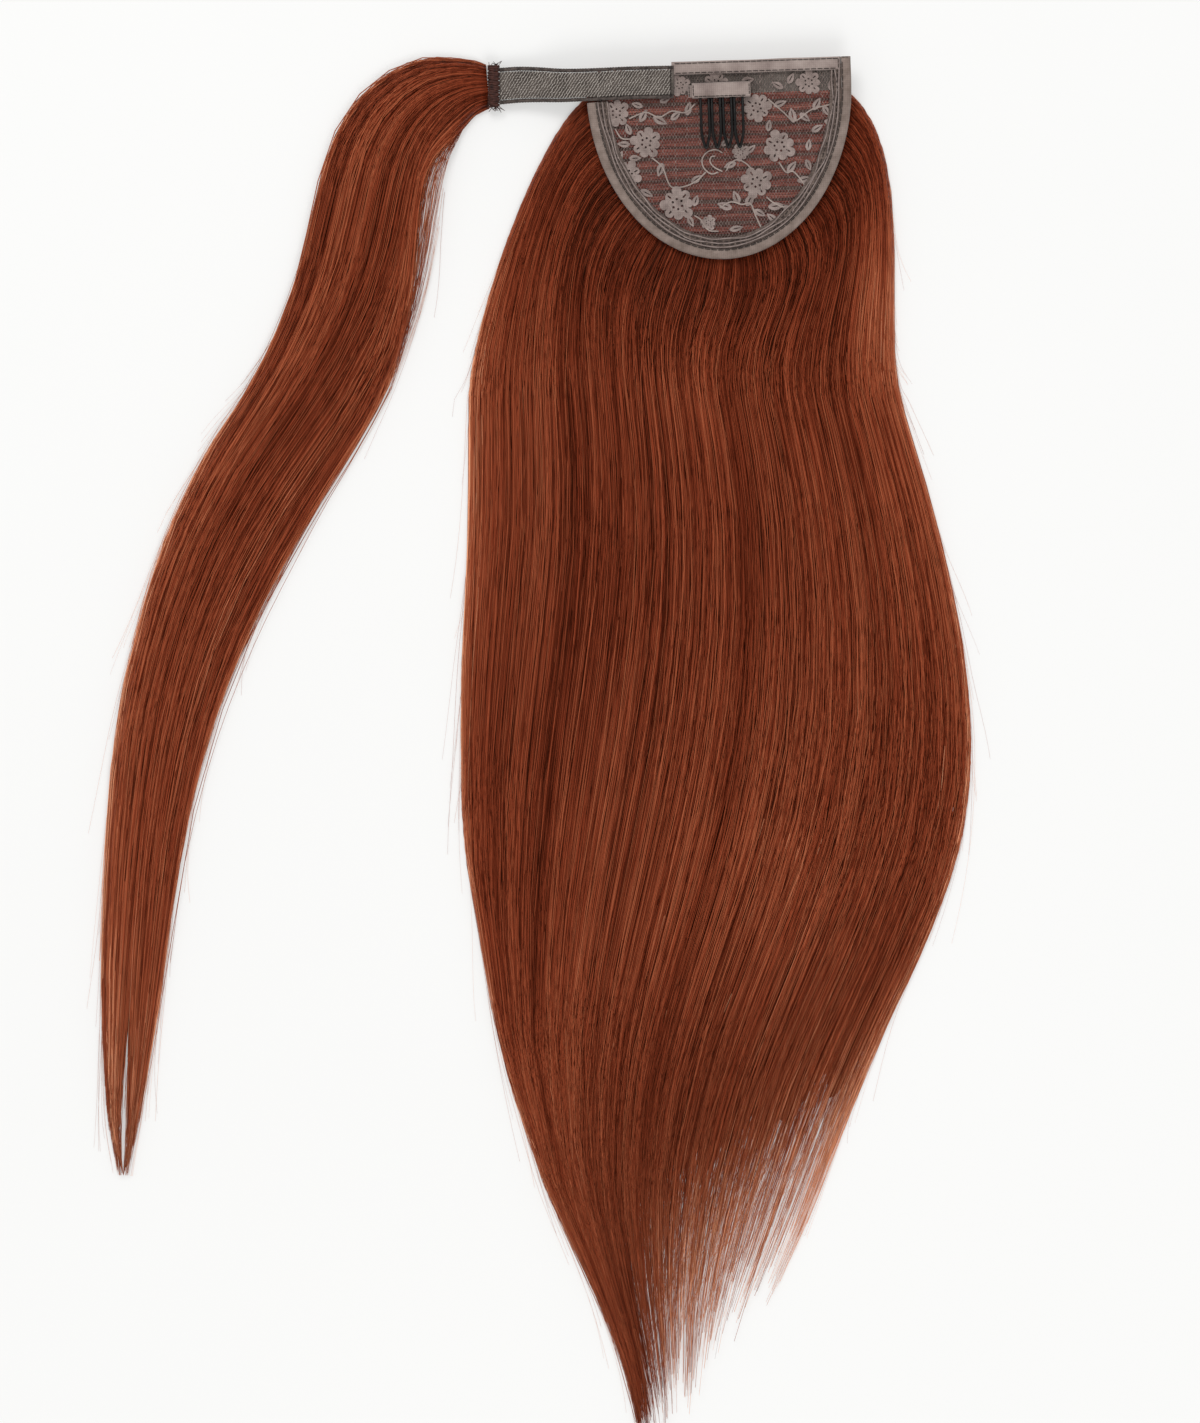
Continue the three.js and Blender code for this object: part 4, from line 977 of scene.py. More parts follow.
# across and up of each leaf's middle, its length, width and direction
LACE_LEAVES = [
    (-32.0, -22.0, 6, 2.8, 60), (-25.0, -24.2, 6.5, 3.2, -30), (-18.4, -22.4, 5.5, 2.6, 40),
    (-13.0, -19.6, 6, 2.8, 75), (-25.6, -44.8, 6, 3.0, -110), (-10.6, -49.2, 5.5, 2.6, 35),
    (3.6, -43.8, 5.5, 2.6, 200), (12.6, -37.4, 5, 2.4, 40), (29.4, -45.4, 6, 2.8, 50),
    (34.4, -50.8, 6, 2.6, 15), (0.8, -60.8, 6.5, 3.2, 160), (5.8, -57.4, 6, 3.0, 110),
    (11.4, -58.6, 6, 3.2, 60), (15.4, -64.2, 5.5, 2.6, -30), (25.4, -18.8, 6, 2.6, 20),
    (30.4, -23.8, 6.5, 3.2, 100), (35.6, -24.8, 5.5, 2.6, -40), (40.8, -19.4, 6, 2.8, 60),
    (44.6, -22.4, 5, 2.4, -60), (22.4, -61.6, 7, 3.2, 5), (27.6, -63.2, 6, 2.6, -40),
    (-40.6, -33.6, 5.5, 2.6, 175), (-13.6, -66.8, 5, 2.4, -65), (47.0, -11.6, 5, 2.6, 90),
    (24.6, -11.0, 5.5, 2.6, 150), (-31.6, -54.4, 6, 2.6, -30), (36.8, -36.4, 5, 2.4, 80),
    (5.4, -70.4, 6, 2.4, 10), (-38.4, -27.4, 5, 2.6, 110), (-42.4, -38.6, 5, 2.4, 60),
    (-36.0, -39.6, 5, 2.6, 0), (-31.8, -60.4, 6, 2.6, 130), (-27.0, -66.6, 5.5, 2.4, -35),
    (-11.2, -58.2, 5, 2.6, 70), (20.4, -66.4, 5.5, 2.6, 140), (40.6, -29.6, 5.5, 2.6, 30),
    (36.4, -44.8, 5, 2.4, -70), (12.2, -8.6, 5.5, 3.0, 10), (30.2, -8.4, 5, 2.6, 60),
    (46.0, -27.4, 5, 2.4, -20), (2.0, -34.2, 4.5, 2.2, 40), (20.4, -27.8, 5, 2.4, 80),
    (-22.6, -15.6, 5, 2.4, 20), (-34.4, -17.4, 5, 2.4, 160),
]
# the places that each corded stem passes
LACE_STEMS = [
    [(-38, -23), (-31, -20.6), (-25.4, -22.8), (-20, -20.4), (-14.4, -21.2), (-10, -17.6)],
    [(-29, -39.6), (-24.7, -43.7), (-22.6, -49.8), (-20.5, -52.4), (-14.5, -51.8), (-9.9, -49.4),
     (-6.6, -46.4)],
    [(-1.4, -46.6), (-4.4, -47.2), (-7.4, -44.6), (-7.9, -40.8), (-5.4, -37.8), (-1.8, -37.2),
     (0.6, -38.6)],
    [(0.4, -46.4), (-2.8, -44.6), (-4.6, -42.4), (-4.2, -40.2), (-2.4, -39.8)],
    [(2.0, -46.2), (3.6, -43.4), (6.8, -41.6), (10.4, -43.4), (12.8, -46.0)],
    [(24.1, -43.2), (27, -47.6), (30, -47.4), (33.6, -51.6), (35.7, -55.8)],
    [(-1.3, -61.6), (3.4, -59.2), (8.0, -60.4), (11.6, -60.2), (13.6, -65.2), (15.7, -70.2)],
    [(20.4, -16.6), (26.3, -22.0), (31.4, -26.1), (38.3, -21.8), (46.4, -19.8)],
    [(18.4, -57.6), (21.4, -60.2), (26.2, -62.2), (30.4, -60.6)],
    [(-12.0, -64.4), (-9.4, -66.2), (-6.4, -70.6), (-2.0, -71.4)],
    [(-44, -27), (-41.5, -31), (-37.6, -31.6)],
]


def half_width_at(y, inset):
    """Half the cap's width at a height below its top edge, for an edge that lies inset."""
    drop = np.clip((-CAP_SIDE - np.asarray(y, float)) / (CAP_ARC_DEPTH - inset), 0, 1)
    return (CAP_WIDTH / 2 - inset) * np.sqrt(1 - drop ** 2)


def lace_net():
    """Zigzag threads in rows that touch, so they close to a net of small diamonds. They are laid in
    short runs."""
    step = NET_CELL_WIDTH / 2
    rows = np.arange(NET_TOP, -CAP_SIDE - CAP_ARC_DEPTH + NET_INSET, -NET_CELL_HEIGHT)
    runs = []
    for order, y in enumerate(rows):
        half = half_width_at(y, NET_INSET)
        for start in np.arange(-CAP_WIDTH / 2, CAP_WIDTH / 2, step * NET_RUN):
            if abs(start + step * NET_RUN / 2) > half:
                continue
            corner = np.arange(NET_RUN + 1)
            up = np.where((corner + order) % 2 == 0, 0.5, -0.5) * NET_CELL_HEIGHT
            x = start + corner * step
            z = NET_LOW + 0.12 * np.sin(x / 5) * np.cos(y / 4)
            runs.append(np.stack([x, y + up, z], axis=-1))
    return np.array(runs)


def filled(outlines, low_z, thick):
    """Flat cloth cut to an outline, with holes where other outlines lie in it: points in cap
    millimetres, and faces."""
    curve = bpy.data.curves.new("outline", "CURVE")
    curve.dimensions = "2D"
    curve.fill_mode = "BOTH"
    curve.extrude = thick / 2
    for outline in outlines:
        spline = curve.splines.new("POLY")
        spline.points.add(len(outline) - 1)
        flat = np.concatenate([outline, np.zeros((len(outline), 1)), np.ones((len(outline), 1))], axis=-1)
        spline.points.foreach_set("co", flat.ravel())
        spline.use_cyclic_u = True
    holder = bpy.data.objects.new("outline", curve)
    scene.collection.objects.link(holder)
    mesh = bpy.data.meshes.new_from_object(holder.evaluated_get(bpy.context.evaluated_depsgraph_get()))
    points = np.empty(len(mesh.vertices) * 3)
    mesh.vertices.foreach_get("co", points)
    points = points.reshape(-1, 3) + [0, 0, low_z + thick / 2]
    faces = [list(polygon.vertices) for polygon in mesh.polygons]
    bpy.data.objects.remove(holder)
    bpy.data.curves.remove(curve)
    bpy.data.meshes.remove(mesh)
    return points, faces


def ring_points(x, y, radii, turn=0.0):
    """A closed outline round a place, one radius for each of its points."""
    angles = math.radians(turn) + np.linspace(0, 2 * math.pi, len(radii), endpoint=False)
    return np.stack([x + np.cos(angles) * radii, y + np.sin(angles) * radii], axis=-1)


def lace_flower(x, y, radius, turn):
    """Eight round petals with gaps between them, a ring of eyelets round the middle and a slit in each
    second petal."""
    angles = np.linspace(0, 2 * math.pi, 96, endpoint=False)
    sizes = 1 + 0.1 * np.sin(np.arange(8) * 2.4 + x)
    petals = radius * (0.72 + 0.28 * np.abs(np.sin(4 * angles)) ** 0.5) * np.repeat(sizes, 12)
    outlines = [ring_points(x, y, petals, turn)]
    for eye in range(6):
        way = math.radians(turn + 60 * eye + 12)
        eye_x, eye_y = x + 0.3 * radius * math.cos(way), y + 0.3 * radius * math.sin(way)
        outlines.append(ring_points(eye_x, eye_y, np.full(8, 0.075 * radius)))
    for slit in range(4):
        way = math.radians(turn + 90 * slit + 22.5)
        at = np.array([x + 0.62 * radius * math.cos(way), y + 0.62 * radius * math.sin(way)])
        out = np.array([math.cos(way), math.sin(way)])
        beside = np.array([-out[1], out[0]])
        shape = [(-0.16, 0), (-0.05, 0.05), (0.1, 0.045), (0.17, 0), (0.1, -0.045), (-0.05, -0.05)]
        outlines.append(np.array([at + radius * (a * out + b * beside) for a, b in shape]))
    return filled(outlines, MOTIF_LOW, MOTIF_THICK)


def lace_leaf(x, y, length, width, direction):
    """A pointed leaf with a toothed edge and an open slit along its middle vein."""
    share = np.linspace(0, 1, 15)
    teeth = 0.22 * (np.arange(15) % 2) * (share > 0) * (share < 1)
    half = width / 2 * np.sin(math.pi * share ** 0.8) + teeth
    along = (share - 0.5) * length
    upper_edge = np.stack([along, half], axis=-1)
    edge = np.concatenate([upper_edge, upper_edge[-2:0:-1] * [1, -1]])
    slit_along = np.array([-0.3, -0.1, 0.15, 0.34, 0.15, -0.1]) * length
    slit = np.stack([slit_along, np.array([0, 1, 0.8, 0, -0.8, -1]) * 0.09 * width], axis=-1)
    way = math.radians(direction)
    turn = np.array([[math.cos(way), math.sin(way)], [-math.sin(way), math.cos(way)]])
    return filled([part @ turn + [x, y] for part in (edge, slit)], MOTIF_LOW + 0.05, MOTIF_THICK * 0.8)


def smooth_line(places, count):
    """A smooth line of count points through a few flat places."""
    rows = [(order, *place) for order, place in enumerate(places)]
    at = np.linspace(0, len(places) - 1, count)
    return np.stack([through(rows, 1, at), through(rows, 2, at)], axis=-1)


lace_thread = woven_cloth("worked_nylon_lace", "#6d5f5a", "#9b8b85", 0.45, relief=0.2, blotch=4.0)
# the net's pale nylon, made lighter still as painted highlight where its threads catch the light
net_thread = sewing_thread("net_nylon_thread", "#7c6a63", "#b5a29a")
cap_piece("lace_net", tubes(lace_net(), NET_THREAD), net_thread)
motif_parts = [lace_flower(*row) for row in LACE_FLOWERS] + [lace_leaf(*row) for row in LACE_LEAVES]
motifs = cap_piece("lace_motifs", joined(motif_parts), lace_thread, smooth=False)
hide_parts("cap_lace")
stem_lines = raised([smooth_line(stem, CORD_PLACES) for stem in LACE_STEMS], CORD_Z)
five_waves = 0.5 + 0.09 * np.cos(5 * np.linspace(0, 2 * math.pi, PETAL_CORD_PLACES, False))
petal_rings = raised(
    [ring_points(x, y, radius * five_waves, turn) for x, y, radius, turn in LACE_FLOWERS],
    MOTIF_LOW + MOTIF_THICK)
cord_parts = [
    tubes(stem_lines, CORD_RADIUS, 6, 0.7), tubes(petal_rings, PETAL_CORD_RADIUS, 4, closed=True)]
cord_thread = woven_cloth("corded_lace_outline", "#7c6e68", "#a6978f", 0.4)
cap_piece("lace_cords", joined(cord_parts), cord_thread)

# The turned-in seam and the edge binding
# The lace is turned in and stitched down inside the edge, which leaves a low ridge with two rows of
# dark stitches. A folded woven tape then binds the whole round edge and runs up to the cap's top corner
# on the right.
BINDING_FOOT_TURN = 0.0262
BINDING_PROFILE = [
    (4.0, 9.35), (4.06, 11.6), (3.95, 12.5), (3.6, 12.86), (2.4, 12.92), (1.1, 12.84), (0.35, 12.55),
    (0.0, 12.0), (-0.05, 11.0), (0.05, 10.0), (0.4, 9.45), (1.2, 9.3),
]
SEAM_PROFILE = [
    (9.0, 11.05), (8.9, 11.45), (8.1, 11.75), (6.6, 12.0), (4.9, 12.25), (4.15, 12.3), (4.15, 11.05),
]
SEAM_CORDS = [4.95, 6.4, 8.0]
SEAM_STITCH_LINES = [5.7, 7.2]
SEAM_CREST, SEAM_CORD_RADIUS = 4.75, 0.3


def run_along(points):
    """How far along a line of points each one lies."""
    return np.concatenate([[0], np.cumsum(np.linalg.norm(np.diff(points, axis=0), axis=1))])


def waves(run, seed, lengths, count, size):
    """A small unevenness along a run: the mean of a few waves whose lengths are drawn between two."""
    draw = np.random.default_rng(seed)
    total = sum(np.sin(run / draw.uniform(*lengths) + draw.uniform(0, 6)) for _ in range(count))
    return total / count * size


def edge_run(spacing):
    """The cap's edge at even steps: from under the strap on the left, round the arc, up to the top
    right corner. Gives the outermost points and the directions out of the cap."""
    points, outs = cap_edge(np.linspace(BINDING_FOOT_TURN, 1, 400), 0)
    points = np.concatenate([points, [[CAP_WIDTH / 2, 0]]])
    outs = np.concatenate([outs, [[1, 0]]])
    run = run_along(points)
    at = np.linspace(0, run[-1], int(run[-1] / spacing))
    points, outs = [
        np.stack([np.interp(at, run, part[:, i]) for i in (0, 1)], axis=-1) for part in (points, outs)]
    return points, outs / np.linalg.norm(outs, axis=1, keepdims=True)


def swept(profile, spacing, ripple, seed):
    """A closed profile of inset and height swept round the cap's edge, a little puckered."""
    points, outs = edge_run(spacing)
    wave = waves(np.arange(len(points)) * spacing, seed, (1.2, 7), 5, ripple)
    rings = np.stack([
        raised(points - outs * (inset + 0.4 * wave)[:, None], z + wave * (1 if z > 12 else 0.3))
        for inset, z in profile], axis=1)
    return rings, skin(*rings.shape[:2])


def stitches(line, length, gap, rise=0.12):
    """Single stitches along a line of points: each lies proud in its middle and dips in at both ends."""
    run = run_along(line)
    starts = np.arange(gap, run[-1] - length, length + gap)
    at = starts[:, None] + np.array([0, 0.22, 0.5, 0.78, 1.0])[None, :] * length
    made = np.stack([np.interp(at, run, line[:, i]) for i in range(3)], axis=-1)
    made[..., 2] += np.array([-0.15, 0.7, 1.0, 0.7, -0.15]) * rise
    return made


def edge_line(inset, z, spacing=1.0, wander=0.0, seed=0):
    """A line that follows the cap's edge, in cap millimetres, and wanders to and fro by this much."""
    points, outs = edge_run(spacing)
    stray = waves(np.arange(len(points)) * spacing, seed, (1.5, 9), 4, 2 * wander)
    return raised(points - outs * (inset + stray)[:, None], z)


def dark_stitches(name, lines, radius, place=on_cap):
    """Single stitches of dark thread as one piece."""
    points, faces = tubes(lines, radius, 5)
    new_piece(name, place(points), faces, dark_thread)


tape = woven_cloth("woven_polyester_tape", "#766762", "#a5968f", 0.42, blotch=9.0)
binding_tape = woven_cloth("folded_binding_tape", "#65574f", "#8e7e76", 0.42, blotch=5.0)
seam_cloth = woven_cloth("folded_lace_edge", "#3a2e29", "#76675f", 0.6, relief=0.2, blotch=3.0)
dark_thread = sewing_thread("dark_sewing_thread", "#201a17", "#3c332e")
binding_mesh = swept(BINDING_PROFILE, spacing=0.9, ripple=0.16, seed=701)
binding = cap_piece("folded_binding", binding_mesh, binding_tape)
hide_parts("edge_binding")
seam_mesh = swept(SEAM_PROFILE, spacing=1.0, ripple=0.12, seed=702)
seam = cap_piece("turned_in_seam", seam_mesh, seam_cloth)
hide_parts("cap_seam")
seam_cords = np.stack([
    edge_line(inset, 12.5 - 0.18 * (inset - SEAM_CREST), wander=0.45, seed=703 + i)
    for i, inset in enumerate(SEAM_CORDS)])
cap_piece("seam_cords", tubes(seam_cords, SEAM_CORD_RADIUS, 6), lace_thread)
seam_stitch_lines = [
    edge_line(inset, 12.45 - 0.2 * (inset - SEAM_CREST), wander=0.25, seed=706)
    for inset in SEAM_STITCH_LINES]
seam_stitches = [stitches(line, length=1.6, gap=0.8) for line in seam_stitch_lines]
binding_stitches = stitches(edge_line(inset=3.65, z=12.95), length=2.3, gap=0.5)
dark_stitches("edge_stitches", np.concatenate([*seam_stitches, binding_stitches]), radius=0.2)

# The top band
# The same tape, folded over the cap's straight top edge and stitched along both its sides. It starts
# under the strap and ends against the binding.
BAND_LEFT, BAND_RIGHT, BAND_CREASE = -19.5, 50.9, 21.0
BAND_PROFILE = [
    (0.0, 9.6), (0.12, 11.0), (0.05, 12.3), (-0.35, 12.85), (-2.6, 12.95), (-4.9, 12.85), (-5.35, 12.5),
    (-5.4, 11.7), (-5.3, 9.4), (-0.6, 9.3),
]


def across_cap(profile, left, right, steps, ripple, seed, crease=None):
    """A closed profile of up-the-cap and height, drawn across the cap with slight waves."""
    x = np.linspace(left, right, steps)
    wave = waves(x, seed, (2, 12), 4, ripple)
    dent = 0 if crease is None else -0.3 * np.exp(-((x - crease) / 0.5) ** 2)
    rings = np.stack([
        np.stack([x, y + wave, z + (wave + dent) * (z > 12)], axis=-1) for y, z in profile], axis=1)
    return rings, skin(*rings.shape[:2])


def straight(start, end, count=40):
    """A straight line of points in cap millimetres."""
    return np.linspace(np.array(start, float), np.array(end, float), count)


def stitch_rows(rows):
    """Straight rows of stitches. A row's start and end are x and y in cap millimetres, then its height,
    the stitches' length and the gap between them."""
    return np.concatenate([
        stitches(straight((*start, z), (*end, z)), length, gap) for start, end, z, length, gap in rows])


band_mesh = across_cap(
    BAND_PROFILE, BAND_LEFT, BAND_RIGHT, steps=120, ripple=0.14, seed=711, crease=BAND_CREASE)
band = cap_piece("folded_top_band", band_mesh, tape)
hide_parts("top_band")
dark_stitches("band_stitches", stitch_rows([
    ((BAND_LEFT + 1, -0.75), (BAND_RIGHT, -0.75), 12.95, 2.1, 0.35),
    ((BAND_LEFT + 1, -4.85), (BAND_RIGHT, -4.85), 12.9, 2.1, 0.6),
    ((BAND_RIGHT - 0.6, -0.6), (BAND_RIGHT - 0.6, -5.0), 12.98, 1.6, 0.4),
    ((CAP_WIDTH / 2 - 0.9, -0.3), (CAP_WIDTH / 2 - 4.2, -0.3), 12.95, 1.0, 0.3),
]), radius=0.17)

# The comb's sleeve and the comb
# A short tube of the same tape holds the comb's spine and is stitched to the lace all round. The comb
# is one bent steel wire with a black lacquer: its teeth are narrow loops that stand leg to leg.
SLEEVE_LEFT, SLEEVE_RIGHT, SLEEVE_TOP, SLEEVE_MOUTH = -11.3, 13.1, -9.2, -15.6
SLEEVE_PROFILE = [
    (SLEEVE_MOUTH, 11.9), (SLEEVE_TOP - 0.5, 11.75), (SLEEVE_TOP, 12.1), (SLEEVE_TOP + 0.08, 13.5),
    (SLEEVE_TOP - 0.3, 14.9), (SLEEVE_TOP - 1.1, 15.35), (SLEEVE_TOP - 3.4, 15.5),
    (SLEEVE_MOUTH + 0.5, 15.35), (SLEEVE_MOUTH, 15.0), (SLEEVE_MOUTH + 0.25, 14.55),
    (SLEEVE_MOUTH + 2.2, 14.5), (SLEEVE_MOUTH + 2.2, 12.7), (SLEEVE_MOUTH + 0.2, 12.65),
]
COMB_MIDDLE_X, COMB_SPINE_Y, COMB_Z = 0.9, -11.0, 13.7
COMB_LOOPS, COMB_PITCH, COMB_LEG_SPLIT, COMB_TOOTH, COMB_BOW = 4, 4.7, 1.25, 21, 1.1
COMB_WIRE = 0.62
POCKET_FOLD_PROFILE = [(-10.0, 11.7), (-10.0, 12.3), (-15.1, 12.3), (-15.1, 11.7)]
POCKET_STITCHES = [
    ((SLEEVE_LEFT, SLEEVE_TOP + 0.25), (SLEEVE_RIGHT, SLEEVE_TOP + 0.25), 12.2, 1.5, 0.3),
    ((SLEEVE_LEFT + 0.5, SLEEVE_TOP - 0.8), (SLEEVE_LEFT + 0.5, SLEEVE_MOUTH + 0.4), 15.45, 1.2, 0.3),
    ((SLEEVE_RIGHT - 0.5, SLEEVE_TOP - 0.8), (SLEEVE_RIGHT - 0.5, SLEEVE_MOUTH + 0.4), 15.45, 1.2, 0.3),
    ((SLEEVE_LEFT + 0.6, SLEEVE_MOUTH + 0.5), (SLEEVE_RIGHT - 0.6, SLEEVE_MOUTH + 0.5), 15.5, 1.5, 0.3),
    ((SLEEVE_LEFT - 1.2, -10.2), (SLEEVE_LEFT - 1.2, -15.0), 12.35, 1.2, 0.3),
]
sleeve_mesh = across_cap(SLEEVE_PROFILE, SLEEVE_LEFT, SLEEVE_RIGHT, steps=40, ripple=0.1, seed=721)
sleeve = cap_piece("comb_pocket", sleeve_mesh, tape)
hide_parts("comb_sleeve")
fold_mesh = across_cap(
    POCKET_FOLD_PROFILE, SLEEVE_LEFT - 1.7, SLEEVE_LEFT + 0.1, steps=8, ripple=0.06, seed=722)
cap_piece("pocket_fold", fold_mesh, tape)
dark_stitches("pocket_stitches", stitch_rows(POCKET_STITCHES), radius=0.18)


def comb_loop(number):
    """One tooth: down one leg, round its narrow tip and up the other."""
    middle = COMB_MIDDLE_X + (number - (COMB_LOOPS - 1) / 2) * COMB_PITCH
    leg = (COMB_PITCH - COMB_LEG_SPLIT) / 2
    down = np.array([0, 0.15, 0.3, 0.45, 0.6, 0.72, 0.8, 0.86, 0.91, 0.955, 0.985])
    taper = leg * (1 - smooth_step(0.74, 1.04, down) * 0.86)
    tip = SLEEVE_MOUTH - COMB_TOOTH
    y = COMB_SPINE_Y + (tip - COMB_SPINE_Y) * down
    x = np.concatenate([middle - taper, [middle], (middle + taper)[::-1]])
    y = np.concatenate([y, [tip], y[::-1]])
    out = np.clip((SLEEVE_MOUTH - y) / COMB_TOOTH, 0, 1)
    return np.stack([x, y, COMB_Z + COMB_BOW * np.sin(math.pi * out)], axis=-1)


def lacquered_wire():
    """Spring steel wire dipped in black lacquer: glossy, with a faint unevenness where the lacquer
    pooled."""
    material, tree = new_material("black_lacquered_steel_wire")
    pooled = object_noise(tree, 3, 2.0)
    colour = colour_ramp(tree, pooled, (0.35, "#060505"), (0.7, "#141211"))
    rough = add_node(tree, "MapRange", {"Value": pooled, "To Min": 0.22, "To Max": 0.36})
    bump = add_node(tree, "Bump", {"Height": pooled, "Strength": 0.3, "Distance": 0.05 * MM})
    finish_material(
        tree, Base_Color=colour, Roughness=rough.outputs["Result"], IOR=1.5, Specular_IOR_Level=0.25,
        Normal=bump.outputs["Normal"])
    return material


comb_lines = np.array([comb_loop(number) for number in range(COMB_LOOPS)])
spine_half = COMB_LOOPS * COMB_PITCH / 2
spine_ends = [(COMB_MIDDLE_X + way * spine_half, COMB_SPINE_Y, COMB_Z) for way in (-1, 1)]
spine_line = straight(*spine_ends, 8)
comb_parts = [tubes(line, COMB_WIRE, 8) for line in (comb_lines, spine_line[None])]
comb = cap_piece("wire_comb", joined(comb_parts), lacquered_wire())
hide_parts("comb")

# The strap
# Knitted nylon with a loop pile on its upper side, so that a hook tape holds anywhere on it. Its two
# edges are overlocked with dark thread, and its right end is stitched down over the cap's corner and
# the top band.
STRAP_LEFT, STRAP_RIGHT, STRAP_MIDDLE_Y = -91.5, -18.5, -9.0
STRAP_WIDTH_AT_LOCK, STRAP_WIDTH_ON_CAP, STRAP_EDGING = 15.4, 13.8, 1.6
STRAP_LOW_ON_CAP, STRAP_FALL, STRAP_CLOTH = 12.2, 8.6, 1.2
LOOP_PITCH_ALONG, LOOP_PITCH_ACROSS, LOOP_RADIUS, LOOP_HEIGHT = 1.3, 1.06, 0.2, 0.55
# along the strap from the lock, its sideways place in millimetres and its share of the fall to the table
STRAP_ROUTE = [
    (0, -1.1, 1), (0.12, -0.5, 0.93), (0.24, -0.7, 0.7), (0.34, -1.2, 0.34), (0.43, -1.3, 0.08),
    (0.49, -1.2, 0), (0.75, -0.4, 0), (1, 0, 0),
]


def strap_place(along, side, lift):
    """A place on the strap in table millimetres: along it, sideways as a share of half its width, and
    above its base."""
    along, side, lift = np.broadcast_arrays(*(np.asarray(v, float) for v in (along, side, lift)))
    x = STRAP_LEFT + along * (STRAP_RIGHT - STRAP_LEFT)
    width = STRAP_WIDTH_AT_LOCK + (STRAP_WIDTH_ON_CAP - STRAP_WIDTH_AT_LOCK) * smooth_step(0, 0.5, along)
    y = STRAP_MIDDLE_Y + through(STRAP_ROUTE, 1, along) + side * width / 2
    z = STRAP_LOW_ON_CAP - STRAP_FALL * np.clip(through(STRAP_ROUTE, 2, along), 0, 1) + lift
    return np.stack([x, y, z], axis=-1)


def strap_band(profile, steps, bumps=0.0, bump_length=1.0):
    """A closed profile of sideways share and lift, drawn along the strap. bumps swells it at even
    steps."""
    along = np.linspace(0, 1, steps)
    swollen = 1 + bumps * np.abs(np.sin(math.pi * along * (STRAP_RIGHT - STRAP_LEFT) / bump_length))
    mid_side, mid_lift = np.mean(profile, axis=0)
    rings = np.stack([
        strap_place(along, mid_side + (side - mid_side) * swollen, mid_lift + (lift - mid_lift) * swollen)
        for side, lift in profile], axis=1)
    return rings, skin(*rings.shape[:2], mirrored=True)


def pile_loops(seed):
    """The small loops of the pile, in slanting rows."""
    draw = np.random.default_rng(seed)
    length = STRAP_RIGHT - STRAP_LEFT
    rows = int((STRAP_WIDTH_ON_CAP - 2 * STRAP_EDGING) / LOOP_PITCH_ACROSS)
    loops = []
    turn = np.linspace(0, math.pi, 7)
    for row in range(rows + 1):
        side = -1 + 2 * (row + 0.5) / (rows + 1)
        for x in np.arange(0.8 + (row % 2) * LOOP_PITCH_ALONG / 2, length - 0.9, LOOP_PITCH_ALONG):
            at = (x + draw.normal(0, 0.1)) / length
            way = math.radians(58 + draw.normal(0, 12))
            reach = 0.5 + draw.normal(0, 0.05)
            arch = strap_place(np.full(7, at), np.full(7, side * 0.76), STRAP_CLOTH - 0.15)
            arch[:, 0] += reach * np.cos(turn) * math.cos(way)
            arch[:, 1] += reach * np.cos(turn) * math.sin(way) + draw.normal(0, 0.06)
            arch[:, 2] += LOOP_HEIGHT * np.sin(turn) * (1 + draw.normal(0, 0.12))
            loops.append(arch)
    return np.array(loops)


def loop_nylon():
    """Fine nylon loops, soft and pale against the dark gaps between them."""
    return uneven_fibre(
        "nylon_loop_pile", 2.2, 4.0, [(0.3, "#867d76"), (0.7, "#b3aaa2")], Roughness=0.6,
        Specular_IOR_Level=0.35, Sheen_Weight=0.2)


inner = 1 - 2 * STRAP_EDGING / STRAP_WIDTH_ON_CAP - 0.02
strap_profile = [
    (-inner, 0.15), (-inner, 0.85), (-inner * 0.96, STRAP_CLOTH - 0.1), (0, STRAP_CLOTH),
    (inner * 0.96, STRAP_CLOTH - 0.1), (inner, 0.85), (inner, 0.15), (0, 0),
]
knitted_base = woven_cloth("knitted_nylon_base", "#3a342f", "#6a615a", 0.7)
strap_rings, strap_faces = strap_band(strap_profile, steps=60)
strap_base = new_piece("strap_knit", on_table(strap_rings), strap_faces, knitted_base)
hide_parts("strap")
loop_points, loop_faces = tubes(pile_loops(seed=731), LOOP_RADIUS, sides=4)
new_piece("strap_loops", on_table(loop_points), loop_faces, loop_nylon())
edging_thread = sewing_thread("overlock_thread", "#2d2623", "#544a45")
edging_share = STRAP_EDGING / STRAP_WIDTH_ON_CAP
edging_turn = np.linspace(0, 2 * math.pi, 9)[:-1]
for edge_name, edge_side in (("upper", 1), ("lower", -1)):
    middle_side = edge_side * (1 - edging_share)
    ring = [
        (middle_side + 0.85 * edging_share * math.cos(a), 0.65 + 0.8 * math.sin(a)) for a in edging_turn]
    edging_rings, edging_faces = strap_band(ring, steps=320, bumps=0.22, bump_length=1.15)
    edging_faces = [face[::-1] for face in edging_faces]
    edging = new_piece(
        f"overlocked_{edge_name}_edge", on_table(edging_rings), edging_faces, edging_thread)
    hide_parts(f"strap_edging_{edge_name}")
end_line = strap_place(np.full(20, 0.982), np.linspace(-0.95, 0.95, 20), STRAP_CLOTH + 0.35)
dark_stitches("strap_end_stitches", stitches(end_line, length=1.6, gap=0.35), 0.24, on_table)

# The lock's weft head
# The wrap lock's hair is folded into a short weft and oversewn to the strap's free end with dark
# thread, whose ends stay loose.
HEAD_LEFT, HEAD_RIGHT, HEAD_LOW, HEAD_HIGH = -96.2, -91.8, 2.5, 5.9
HEAD_BOTTOM_Y, HEAD_TOP_Y = -19.1, -1.1
HEAD_RINGS, HEAD_SIDES = 12, 16
HEAD_WINDINGS, HEAD_THREAD, HEAD_ENDS = 24, 0.36, 26


